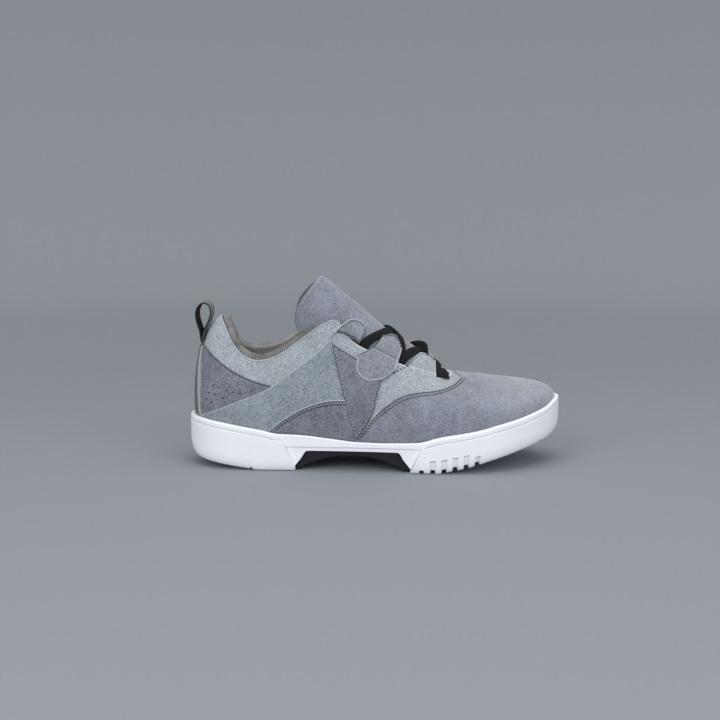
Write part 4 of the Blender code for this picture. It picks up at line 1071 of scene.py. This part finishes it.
def makeTongue():
    # two sheets that close in a half round at the sides and the rim, with a sewn line inside the edge
    rows, columns = tongueLook["grid"]
    up = np.sin(np.linspace(0.0, np.pi / 2.0, rows)) * tongueEnd
    s, w = np.meshgrid(up, 2.0 * spread(columns) - 1.0, indexing="ij")
    shareS = s / tongueEnd
    s = s * (1.0 - tongueLook["rimRound"] * np.abs(w) ** 8)
    front, rim = tongueLook["thick"]
    thick = (front + (rim - front) * shareS ** 0.7) * (1.0 - tongueLook["sideThin"] * np.abs(w) ** 4)
    base, normal = tonguePoint(s, w), tongueNormal(s, w)
    ridge = unit(tongueRow(np.array([tongueEnd]))[0, :2] - tongueRow(np.array([tongueEnd - 0.3]))[0, :2])
    slip = tongueLook["slip"] * smoothStep(0.2, 0.8, w) * smoothStep(0.7, 1.0, shareS)
    base = base + np.array((ridge[0], 0.0, ridge[1])) * slip[..., None]
    across, along = runLength(base, 1), runLength(base, 0)
    inward = np.minimum(np.minimum(across, across[:, -1:] - across), along[-1:] - along)
    bow = edgeRound(inward + 0.04, 0.5 * thick)
    dip = bell(inward - tongueLook["seam"], tongueLook["seamWide"])
    lowRimDark = tongueLook["lowRimDark"] * bell(inward, 1.0) * smoothStep(0.25, 0.6, -w)
    outside = base + normal * (0.5 * thick * (bow - 1.0) - tongueLook["seamDeep"] * dip)[..., None]
    inside = base - normal * (0.5 * thick * (bow + 1.0))[..., None]
    quads, uv = sheetQuads(rows, columns), np.stack((across, along), axis=-1)
    cells = gridCorners(uv)
    band = quads[2 * len(cells):]
    uv = np.concatenate((cells[:, ::-1], cells, np.tile(uv.reshape(-1, 2), (2, 1))[band]))
    which = np.repeat((0, 1, 0), (len(cells), len(cells), len(band)))
    # painted shade in the seam's dip; darker along the lower part of the rim
    shade = np.minimum(0.4 * dip + lowRimDark, 1.0)
    tongue = putPiece("tonguePad", np.stack((outside, inside)), quads, [suedeVamp, tongueKnit], ["tongue"],
                      uv, {"raw": np.zeros(2 * s.size), "shade": np.stack((shade, shade))}, which)


makeTongue()

# Lace runs as s, w places on the tongue. runs: table, side, rise and twist at the crossing, widths at even steps
# along the run, rise of the bight before its end.
laceLook = {
    "thick": 1.6, "lift": 1.15, "samples": 110, "sides": 20, "crossWide": 0.13, "bightAt": 0.94, "dive": 1.3,
    "high": ((4.38, -0.92), (4.30, -0.81), (4.28, -0.69), (4.20, -0.54), (4.07, -0.35), (3.85, 0.00), (3.47, 0.24),
             (3.30, 0.40), (3.22, 0.54), (3.10, 0.74), (3.04, 0.88)),
    "bight": ((3.22, -0.88), (3.15, -0.73), (3.05, -0.55), (2.88, -0.31), (2.62, 0.00), (2.43, 0.21), (2.20, 0.36),
              (1.95, 0.46), (1.66, 0.51), (1.30, 0.50), (0.92, 0.42)),
    "low": ((3.22, -0.88), (3.15, -0.73), (3.05, -0.55), (2.88, -0.31), (2.62, 0.00), (2.20, 0.12), (1.80, 0.26),
            (1.52, 0.42), (1.38, 0.54), (1.32, 0.64)),
    "bar": ((1.72, -0.66), (1.76, -0.48), (1.80, -0.25), (1.82, 0.00), (1.80, 0.25), (1.76, 0.48), (1.72, 0.66)),
    "runs": (("high", 1, 0.0, 0.0, (8.8, 6.2, 6.0), 0.0), ("high", -1, 1.6, 0.0, (6.0, 4.6, 3.4), 0.0),
             ("low", 1, 0.0, 0.0, (8.8, 6.4, 6.0), 0.0),
             ("bight", -1, 3.2, 66.0, (6.0, 6.2, 6.8, 7.0, 4.4, 7.6, 10.4, 6.6), 3.8),
             ("bar", 1, 0.3, 0.0, (6.0, 6.0, 6.0), 0.0)),
}


def laceBody(run):
    # flat rounded section carried along a smooth run over the tongue, lifted and turned by a bell shape where it
    # crosses another; both ends sink, and a bight stands up before its end and dives
    table, mirror, over, twist, widths, bight = run
    rows = np.array(laceLook[table]) * (1.0, mirror)
    t = np.linspace(0.0, 1.0, laceLook["samples"])
    s, w = np.moveaxis(alongRows(rows, t), -1, 0)
    normal = tongueNormal(s, w)
    middleRow = np.interp(0.0, rows[:, 1] * mirror, np.arange(len(rows))) / (len(rows) - 1.0)
    crossing = bell(t - middleRow, laceLook["crossWide"])
    ending = smoothStep(0.92, 1.0, t)
    lift = laceLook["lift"] + over * crossing - (smoothStep(0.08, 0.0, t) + ending)
    lift = lift + bight * (bell(t - laceLook["bightAt"], laceLook["crossWide"]) - laceLook["dive"] * ending)
    middle = tonguePoint(s, w) + normal * lift[:, None]
    along = unit(np.gradient(middle, axis=0))
    side = unit(np.cross(along, normal))
    up = np.cross(side, along)
    turn = np.radians(twist) * crossing[:, None]
    side, up = side * np.cos(turn) + up * np.sin(turn), up * np.cos(turn) - side * np.sin(turn)
    angle = circle(laceLook["sides"])
    half = 0.5 * smoothLine(np.column_stack((np.linspace(0.0, 1.0, len(widths)), widths)))(t)[:, None]
    wide = signedPower(np.cos(angle), 0.7) * half
    deep = signedPower(np.sin(angle), 0.8) * laceLook["thick"] * 0.5
    points = middle[:, None] + side[:, None] * wide[..., None] + up[:, None] * deep[None, :, None]
    return points, pairGrid(runLength(middle, 0)[:, None], np.concatenate((wide, wide[:, :1]), axis=1))


def makeLaces():
    # the runs as capped tubes, joined in one mesh
    points, quads, uv = [], [], []
    for run in laceLook["runs"]:
        body, texture = laceBody(run)
        faces, places = cappedTube(texture)
        quads.append(faces + sum(len(part) for part in points))
        points.append(body.reshape(-1, 3))
        uv.append(places)
    points = np.concatenate(points)
    putPiece("laceRuns", points, np.concatenate(quads), [laceBraid], ["laces"], np.concatenate(uv),
             {"edge": np.zeros(len(points))})


makeLaces()
print("tongue and laces made")

# Pull loop in side view, the middle line of the web from the base up the back and down the front; girth closes the
# texture.
loopLook = {
    "line": ((-139.6, 99.2), (-140.6, 106.0), (-142.3, 112.0), (-143.7, 118.0), (-143.5, 123.4), (-141.0, 128.0),
             (-137.0, 129.9), (-133.2, 127.6), (-131.9, 122.6), (-132.9, 117.4), (-135.4, 112.0), (-138.0, 106.0)),
    "width": 22.0, "web": 1.6, "girth": 82.0, "samples": 160, "sides": 36,
}


def makePullLoop():
    # flat web with rounded edges, carried round a closed drop shape
    line = closedSpline(loopLook["line"])
    t = np.linspace(0.0, len(loopLook["line"]), loopLook["samples"], endpoint=False)
    middle = line(t)
    run = unit(line(t + 0.02) - line(t - 0.02))
    out = np.column_stack((run[:, 1], -run[:, 0]))
    out = out if np.sum(out * (middle - middle.mean(axis=0))) > 0 else -out
    angle, halfWidth = circle(loopLook["sides"]), loopLook["width"] * 0.5
    wide = signedPower(np.cos(angle), 0.25) * halfWidth
    deep = signedPower(np.sin(angle), 0.6) * loopLook["web"] * 0.5
    x = middle[:, :1] + out[:, :1] * deep[None, :]
    z = middle[:, 1:] + out[:, 1:] * deep[None, :]
    points = np.stack((x, np.broadcast_to(wide[None, :], x.shape), z), axis=-1)
    length = np.append(runLength(middle, 0), loopLook["girth"])
    uv = gridCorners(pairGrid(length[:, None], np.append(wide, wide[0])[None, :]))
    outer = np.broadcast_to((np.sin(angle + np.pi / loopLook["sides"]) > 0)[None, :], x.shape).reshape(-1)
    edge = np.broadcast_to(smoothStep(0.86, 0.97, np.abs(wide) / halfWidth)[None, :], x.shape)
    putPiece("pullLoopWeb", points, gridQuads(*x.shape, True, True), [webBlack, webGrey],
             ["pull_loop"], uv, {"edge": edge}, outer)


makePullLoop()

# Sole. Joints between its pieces in side view: x, z from the floor up. Runs: first and last upright column of each
# cup. heelGap, foreLap: how far forward of each joint the midsole's end lies.
soleForm = {
    "heelJoint": ((-63.7, -6.0), (-63.7, 2.6), (-70.4, 17.3), (-73.2, 22.9), (-77.6, 27.6), (-84.0, 30.7)),
    "foreJoint": ((26.2, -6.0), (26.4, 0.9), (36.3, 20.9), (38.6, 23.9), (43.4, 27.2), (50.0, 30.0)),
    "heelRun": (-63.7, -137.0), "foreRun": (26.4, 138.0), "heelGap": 0.15, "foreLap": 0.6, "across": 15,
    "endRound": 0.7, "sharp": 34.0,
    # outset from the feather line, shares of tread, lip and footbed height, rise
    "cup": ((1.2, 1, 0, 0, 0.0), (2.4, 1, 0, 0, 0.3), (3.4, 1, 0, 0, 1.15), (4.15, 1, 0, 0, 2.7), (4.7, 1, 0, 0, 4.9),
            (5.0, 1, 0, 0, 7.6), (5.05, 0.5, 0.5, 0, 0.9), (5.0, 0, 1, 0, -5.6), (4.92, 0, 1, 0, -5.15),
            (3.7, 0, 1, 0, -4.80), (3.7, 0, 1, 0, -4.55), (4.84, 0, 1, 0, -4.15), (4.95, 0, 1, 0, -3.6),
            (4.9, 0, 1, 0, -1.6), (4.55, 0, 1, 0, -0.5), (3.8, 0, 1, 0, 0.0), (2.0, 0, 1, 0, 0.05),
            (0.6, 0, 1, 0, -0.05), (0.25, 0, 1, 0, -0.6), (0.25, 0, 0, 1, 0.0)),
    "cupRows": 96, "lowRows": 0.42, "tipColumns": 44,
    # gaps cut up into the tread: x, width, depth, height of the window over it; all windows' width and depth
    "heelGaps": ((-98.6, 1.6, 2.0, 0.0),),
    "foreGaps": ((35.2, 3.5, 3.2, 0.0), (43.9, 3.5, 3.2, 7.4), (52.6, 3.5, 3.2, 8.2), (61.3, 3.5, 3.2, 8.0),
                 (70.0, 3.5, 3.2, 7.2), (78.7, 3.5, 3.0, 5.0), (131.0, 1.6, 2.0, 0.0)),
    "window": (4.3, 2.2),
}


def planTable(side):
    # dense plan of one side from heel to toe: u, place, outward normal
    u = np.linspace(0.0, stations, stations * perStation + 1)
    turn = u if side < 0 else loop - u
    row, normal = planFrame(turn)
    return u, row[:, :2], normal


plans = {side: planTable(side) for side, _ in sideNames}


def planPoint(share, outset, side):
    # plan place at a heel-to-toe station, moved out from the feather line
    u, place, normal = plans[side]
    x = np.interp(share, u, place[:, 0]) + outset * np.interp(share, u, normal[:, 0])
    y = np.interp(share, u, place[:, 1]) + outset * np.interp(share, u, normal[:, 1])
    return x, y


def stationAt(x, outset, side):
    # station whose outset point has that x, by fixed steps
    u, place, normal = plans[side]
    share = np.interp(x, place[:, 0], u)
    for _ in range(10):
        share = np.interp(x - outset * np.interp(share, u, normal[:, 0]), place[:, 0], u)
    return share


def twoSides(x, outset, z):
    # lateral and medial points at x and z, with the plan's reach there
    return [np.stack((x, planPoint(stationAt(x, outset, side), outset, side)[1], z), axis=-1)
            for side, _ in sideNames]


def ringsAround(lateral, medial, count):
    # tread, lateral profile, footbed and medial profile of each station as one ring
    r = np.linspace(0.0, 1.0, count)[None, 1:-1, None]
    bottom = medial[:, :1] * (1.0 - r) + lateral[:, :1] * r
    top = lateral[:, -1:] * (1.0 - r) + medial[:, -1:] * r
    return np.concatenate((bottom, lateral, top, medial[:, ::-1]), axis=1)


def acrossSolid(name, lateral, medial, caps, finish, node, slot, under):
    # a ring for each station; the cut ends are filled with rungs across the foot
    rings = ringsAround(lateral, medial, soleForm["across"])
    rows, columns = rings.shape[:2]
    points, quads = [rings.reshape(-1, 3)], [gridQuads(rows, columns, loopColumns=True)]
    mark = np.zeros((rows, columns))
    mark[:, :soleForm["across"] - 2] = under
    marks = [mark.ravel()]
    r = np.linspace(0.0, 1.0, soleForm["across"])[None, :, None]
    for station in caps:
        face = medial[station][:, None] * (1.0 - r) + lateral[station][:, None] * r
        cap = gridQuads(*face.shape[:2]) + sum(len(part) for part in points)
        quads.append(cap if station == 0 else cap[:, ::-1])
        points.append(face.reshape(-1, 3))
        marks.append(np.zeros(face.shape[0] * face.shape[1]))
    points, quads, first = weld(np.concatenate(points), np.concatenate(quads))
    putPiece(name, points, quads, [finish], [node], None, {"under": np.concatenate(marks)[first]},
             sharp=soleForm["sharp"])


def cupColumns(start, stop, gaps):
    # even steps from the joint towards the tip, with close pairs at the edges of each gap and window
    sign = np.sign(stop - start)
    edges = [x + way * (width * 0.5 + slip) for x, gap, _, high in gaps for way in (-1, 1)
             for width in ((gap, soleForm["window"][0]) if high else (gap,)) for slip in (-0.14, 0.14)]
    steps = start + sign * np.arange(1.2, abs(stop - start), 1.1)
    close = start + sign * np.array((0.0, 0.12, 0.32, 0.65))
    return sign * np.sort(sign * np.concatenate((close, steps, edges, [stop])))


def cupSide(columns, side, joint, tip, gaps):
    # wall of a cup from its profile: upright columns that bend to the joint line at one end and close at the tip;
    # the gaps lift the tread and a shallow window dips the wall over each
    table = soleForm["cup"]
    profile = openSpline(table)(np.linspace(0.0, len(table) - 1.0, soleForm["cupRows"]))
    outset = profile[None, :, 0]
    sign = 1.0 if tip > 0 else -1.0

    def levels(x):
        # shares of the three heights at x, and a rise
        heights = profile[:, 1] * treadHeight(x) + profile[:, 2] * lipHeight(x) + profile[:, 3] * footbedHeight(x)
        return heights + profile[:, 4]

    jointX, jointZ = np.array(joint).T
    trial = (columns[0] + sign * np.linspace(-1.0, 30.0, 1500))[:, None]
    past = sign * (trial - np.interp(levels(trial), jointZ, jointX)) > 0
    away = trial[np.argmax(past, axis=0), 0] - columns[0]
    run = np.abs(columns - columns[0])[:, None]
    x = columns[:, None] + away * np.maximum(1.0 - run / (2.1 * np.abs(away) + 0.5), 0.0) ** 2
    share = stationAt(x, outset, side)
    toTip = np.linspace(1.0, 0.0, soleForm["tipColumns"])[1:, None] ** 1.3
    share = np.concatenate((share, tip - (tip - share[-1:]) * toTip))
    run = np.concatenate((run, np.full(toTip.shape, run[-1, 0])))
    rounding = soleForm["endRound"] * np.exp(-run / 0.5) * smoothStep(0.5, 3.0, outset)
    x, y = planPoint(share, outset - rounding, side)
    z = levels(x)
    floor = treadHeight(x)
    low = np.arange(x.shape[1])[None, :] < soleForm["cupRows"] * soleForm["lowRows"]
    wide, dip = soleForm["window"]
    sink = np.zeros(x.shape)
    for middle, gap, depth, high in gaps:
        near = np.abs(x - middle)
        notch = (1.0 - smoothStep(gap * 0.5 - 0.12, gap * 0.5 + 0.12, near)) * depth
        z = np.where(low & (z < floor + notch), floor + notch, z)
        if high:
            inside = 1.0 - smoothStep(wide * 0.5 - 0.14, wide * 0.5 + 0.14, near)
            sink = sink + inside * (1.0 - smoothStep(high + 2.3, high + 2.7, z - floor)) * dip * low
    _, normal = planFrame(share if side < 0 else loop - share)
    return np.stack((x - normal[..., 0] * sink, y - normal[..., 1] * sink, z), axis=-1)


def makeCup(name, node, start, stop, joint, tip, gaps):
    # one profile swept round the plan on both sides, closed across the joint
    columns = cupColumns(start, stop, gaps)
    lateral, medial = (cupSide(columns, side, joint, tip, gaps) for side, _ in sideNames)
    acrossSolid(name, lateral, medial, [0], soleRubber, node, "sole_white", 1.0)


makeCup("heelCupShell", "heel_cup", *soleForm["heelRun"], soleForm["heelJoint"], 0.0, soleForm["heelGaps"])
makeCup("forefootCupShell", "forefoot_cup", *soleForm["foreRun"], soleForm["foreJoint"], float(stations),
        soleForm["foreGaps"])


def evenRise(rows, f):
    # a side-view curve at equal steps of height
    height = rows[0, 1] + (rows[-1, 1] - rows[0, 1]) * f
    return np.column_stack((smoothLine(rows[:, ::-1])(height), height))


def sidePatch(bottom, top, left, right, s, f):
    # patch between four side-view curves: the two rulings added, less the plane of the corners; the end curves
    # rise evenly, so heights stay between the lower and the upper curve
    low, high = (alongRows(rows, s)[:, None] for rows in (bottom, top))
    rear, front = (evenRise(np.array(rows), f)[None] for rows in (left, right))
    s, f = s[:, None, None], f[None, :, None]
    corners = (low[:1] * (1 - s) + low[-1:] * s) * (1 - f) + (high[:1] * (1 - s) + high[-1:] * s) * f
    return low * (1 - f) + high * f + rear * (1 - s) + front * s - corners


# feet: lower corners at the two cups; arch: lower edge between them; rimOut, rimDrop: rows from the lip inwards, the
# last of them on the footbed.
midsoleLook = {
    "outset": 3.2, "step": 0.9, "stepZ": 19.2, "round": 1.2, "drawIn": 0.9, "grid": (170, 60), "topRows": 15,
    "feet": ((-64.3, 3.6), (27.0, 3.1)),
    "arch": ((-59.2, 9.9), (-54.0, 16.2), (-45.0, 16.3), (-18.0, 16.3), (8.0, 16.3), (16.5, 16.2), (21.8, 9.6)),
    "rimOut": (1.4, 0.6, 0.3, 0.3), "rimDrop": (0.0, 0.1, 0.5, 0.0),
}


def jointEdge(foot, joint, forward):
    # a joint line moved forward, from the midsole's lower corner up to the lip
    rows = [foot] + [(x + forward, z) for x, z in joint[2:]]
    rows[-1] = (rows[-1][0], float(lipHeight(rows[-1][0])))
    return rows


def makeMidsole():
    # band between the cups: a side-view patch given its reach by the plan, stepped at the groove, rounded at the lip
    left = jointEdge(midsoleLook["feet"][0], soleForm["heelJoint"], soleForm["heelGap"])
    right = jointEdge(midsoleLook["feet"][1], soleForm["foreJoint"], soleForm["foreLap"])
    bottom = (left[0], *midsoleLook["arch"], right[0])
    topX = np.linspace(left[-1][0], right[-1][0], midsoleLook["topRows"])
    top = np.column_stack((topX, lipHeight(topX)))
    s, f = (np.linspace(0.0, 1.0, count) for count in midsoleLook["grid"])
    patch = sidePatch(bottom, top, left, right, s, f)
    x, z = patch[..., 0], patch[..., 1]
    outset = midsoleLook["outset"] - midsoleLook["step"] * (1.0 - smoothStep(-0.35, 0.35, z - midsoleLook["stepZ"]))
    outset = outset - midsoleLook["drawIn"] * (1.0 - edgeRound(lipHeight(x) - z, midsoleLook["round"]))
    rimOut, rimDrop = np.array(midsoleLook["rimOut"])[None, :], np.array(midsoleLook["rimDrop"])[None, :]
    rimX = np.broadcast_to(x[:, -1:], (len(s), rimOut.size))
    rimZ = lipHeight(rimX) - rimDrop
    rimZ[:, -1] = footbedHeight(rimX[:, -1])
    x, z = np.concatenate((x, rimX), axis=1), np.concatenate((z, rimZ), axis=1)
    outset = np.concatenate((outset, np.broadcast_to(rimOut, rimX.shape)), axis=1)
    acrossSolid("midsoleBand", *twoSides(x, outset, z), [0, len(s) - 1], soleRubber, "midsole", "sole_white", 0.0)


# left, right: the two end lines from the floor up; feet: where the arc meets the floor; arch: its rise.
plateLook = {
    "left": ((-63.0, 1.0), (-63.6, 2.9), (-58.4, 9.4), (-53.1, 15.9)),
    "right": ((26.0, 1.0), (26.2, 2.5), (20.9, 9.2), (15.6, 15.9)),
    "topMiddle": (-18.0, 15.9), "feet": (-60.5, 22.0), "arch": 10.8, "arcRows": 13, "outset": -1.0, "round": 1.2,
    "grid": (150, 40),
}


def makePlate():
    # arched plate: a side-view patch from the arc below to the flat top, rounded at its lower edge
    left, right = plateLook["left"], plateLook["right"]
    rear, front = plateLook["feet"]
    half = 0.5 * (front - rear)
    radius = (half * half + plateLook["arch"] ** 2) / (2.0 * plateLook["arch"])
    sweep = np.arcsin(half / radius) * np.linspace(-1.0, 1.0, plateLook["arcRows"])
    arcX = 0.5 * (rear + front) + radius * np.sin(sweep)
    arcZ = left[0][1] + plateLook["arch"] - radius * (1.0 - np.cos(sweep))
    bottom = [left[0], *zip(arcX, arcZ), right[0]]
    top = (left[-1], plateLook["topMiddle"], right[-1])
    s, f = (np.linspace(0.0, 1.0, count) for count in plateLook["grid"])
    patch = sidePatch(bottom, top, left, right, s, f)
    x, z = patch[..., 0], patch[..., 1]
    floor = alongRows(bottom, s)[:, 1:]
    outset = plateLook["outset"] - (1.0 - edgeRound(z - floor, plateLook["round"]))
    acrossSolid("grindPlateArch", *twoSides(x, outset, z), [0, len(s) - 1], platePlastic, "grind_plate",
                "plate_black", 0.6)


insoleLook = {"inset": 2.8, "thick": 4.0, "edge": 1.4, "upright": 0.4, "columns": 140, "rows": 20, "across": 41,
              "dish": 1.2}


def makeInsole():
    # footbed outline moved in, with a rounded upper edge and a top that dips across the foot
    u = np.linspace(0.0, stations, insoleLook["columns"])[:, None]
    t = np.linspace(0.0, 1.0, insoleLook["rows"])[None, :]
    edge, upright, straight = insoleLook["edge"], insoleLook["upright"], insoleLook["thick"] - insoleLook["edge"]
    angle = np.clip((t - upright) / (1.0 - upright), 0.0, 1.0) * np.pi / 2.0
    rise = lastForm["gap"] + np.where(t < upright, t / upright * straight, straight + edge * np.sin(angle))
    u, inset = np.broadcast_arrays(u, insoleLook["inset"] + edge * (1.0 - np.cos(angle)))
    sides = []
    for side, _ in sideNames:
        x, y = planPoint(u, -inset, side)
        sides.append(np.stack((x, y, footbedHeight(x) + rise), axis=-1))
    lateral, medial = sides
    inner = insoleLook["across"] - 2
    first = inner + lateral.shape[1]
    rings = ringsAround(lateral, medial, insoleLook["across"])
    share = np.linspace(0.0, 1.0, insoleLook["across"])[None, 1:-1]
    wide = smoothStep(0.0, 20.0, np.abs(lateral[:, -1:, 1] - medial[:, -1:, 1]))
    rings[:, first:first + inner, 2] -= insoleLook["dish"] * np.sin(np.pi * share) * wide
    uv = gridCorners(np.concatenate((rings, rings[:, :1]), axis=1)[..., :2])
    points, quads, _ = weld(rings.reshape(-1, 3), gridQuads(*rings.shape[:2], loopColumns=True))
    putPiece("insoleSock", points, quads, [insoleCloth], ["insole"], uv)


makeMidsole()
makePlate()
makeInsole()
print("sole made")

makeStitches("dark", threadDark)
makeStitches("grey", threadGrey)
print("stitches:", sum(len(part) for runs in threadRuns.values() for part in runs))
print("triangles:", sum(triangles.values()), "in all,", max(triangles.values()), "in the largest piece")

# Studio, in metres: a pale bowl of floor and wall, a soft box over the shoe and two at the front.
# toneRun: distances between which the floor's tone turns into the wall's; boxes: x, y, z, size, power.
studio = {
    "floor": (142, 145, 151), "wallTone": (166, 170, 176), "flat": 1.3, "curve": 1.0, "wall": 2.2, "world": 0.66,
    "toneRun": (0.45, 1.75), "turns": 96, "aim": 0.05,
    "boxes": ((0.15, -0.15, 1.75, 1.6, 12.5), (-0.95, -1.45, 0.95, 1.1, 15.5), (1.05, -1.4, 0.85, 1.1, 11.5)),
}


def makeStudio():
    # profile of flat floor, quarter circle and wall, turned round the shoe
    flat, curve, wall = studio["flat"], studio["curve"], studio["wall"]
    angle = np.linspace(0.0, np.pi / 2.0, 24)
    reach = np.concatenate((np.linspace(0.0, flat, 12)[1:-1], flat + curve * np.sin(angle), [flat + curve]))
    height = np.concatenate((np.zeros(10), curve * (1.0 - np.cos(angle)), [wall]))
    turn = circle(studio["turns"])[:, None]
    points = np.stack(np.broadcast_arrays(reach * np.cos(turn), reach * np.sin(turn), height), axis=-1)
    rows, columns = points.shape[:2]
    mesh = bpy.data.meshes.new("studioFloor")
    faces = gridQuads(rows, columns, loopRows=True).tolist()
    faces.append([i * columns for i in range(rows)][::-1])
    mesh.from_pydata(points.reshape(-1, 3).tolist(), [], [face[::-1] for face in faces])
    mesh.polygons.foreach_set("use_smooth", np.ones(len(faces), dtype=bool))
    material, pen = startFinish("studioPaper")
    cloud = pen.noise(pen.place((1.0, 1.0, 1.0)), 0.6, 2.0)
    away = pen.node("ShaderNodeVectorMath", {"operation": "LENGTH"}, {0: pen.place((1.0, 1.0, 1.0))}, out=1)
    share = (away + cloud * 0.1).between(*studio["toneRun"])
    mesh.materials.append(endFinish(material, {"Roughness": 0.85, "Specular IOR Level": 0.1},
                                    colour=pen.blend(share, studio["floor"], studio["wallTone"])))
    floor = bpy.data.objects.new("studioFloor", mesh)
    scene.collection.objects.link(floor)
    for index, (x, y, z, size, power) in enumerate(studio["boxes"]):
        light = bpy.data.lights.new("softBox%d" % index, "AREA")
        light.size = size
        light.energy = power
        item = bpy.data.objects.new("softBox%d" % index, light)
        item.location = (x, y, z)
        item.rotation_euler = (np.arctan2(np.hypot(x, y), z - studio["aim"]), 0.0, np.arctan2(x, -y))
        scene.collection.objects.link(item)
    world = bpy.data.worlds.new("studioAir")
    world.use_nodes = True
    air = world.node_tree.nodes["Background"]
    air.inputs["Color"].default_value = (0.98, 0.99, 1.0, 1.0)
    air.inputs["Strength"].default_value = studio["world"]
    scene.world = world


makeStudio()
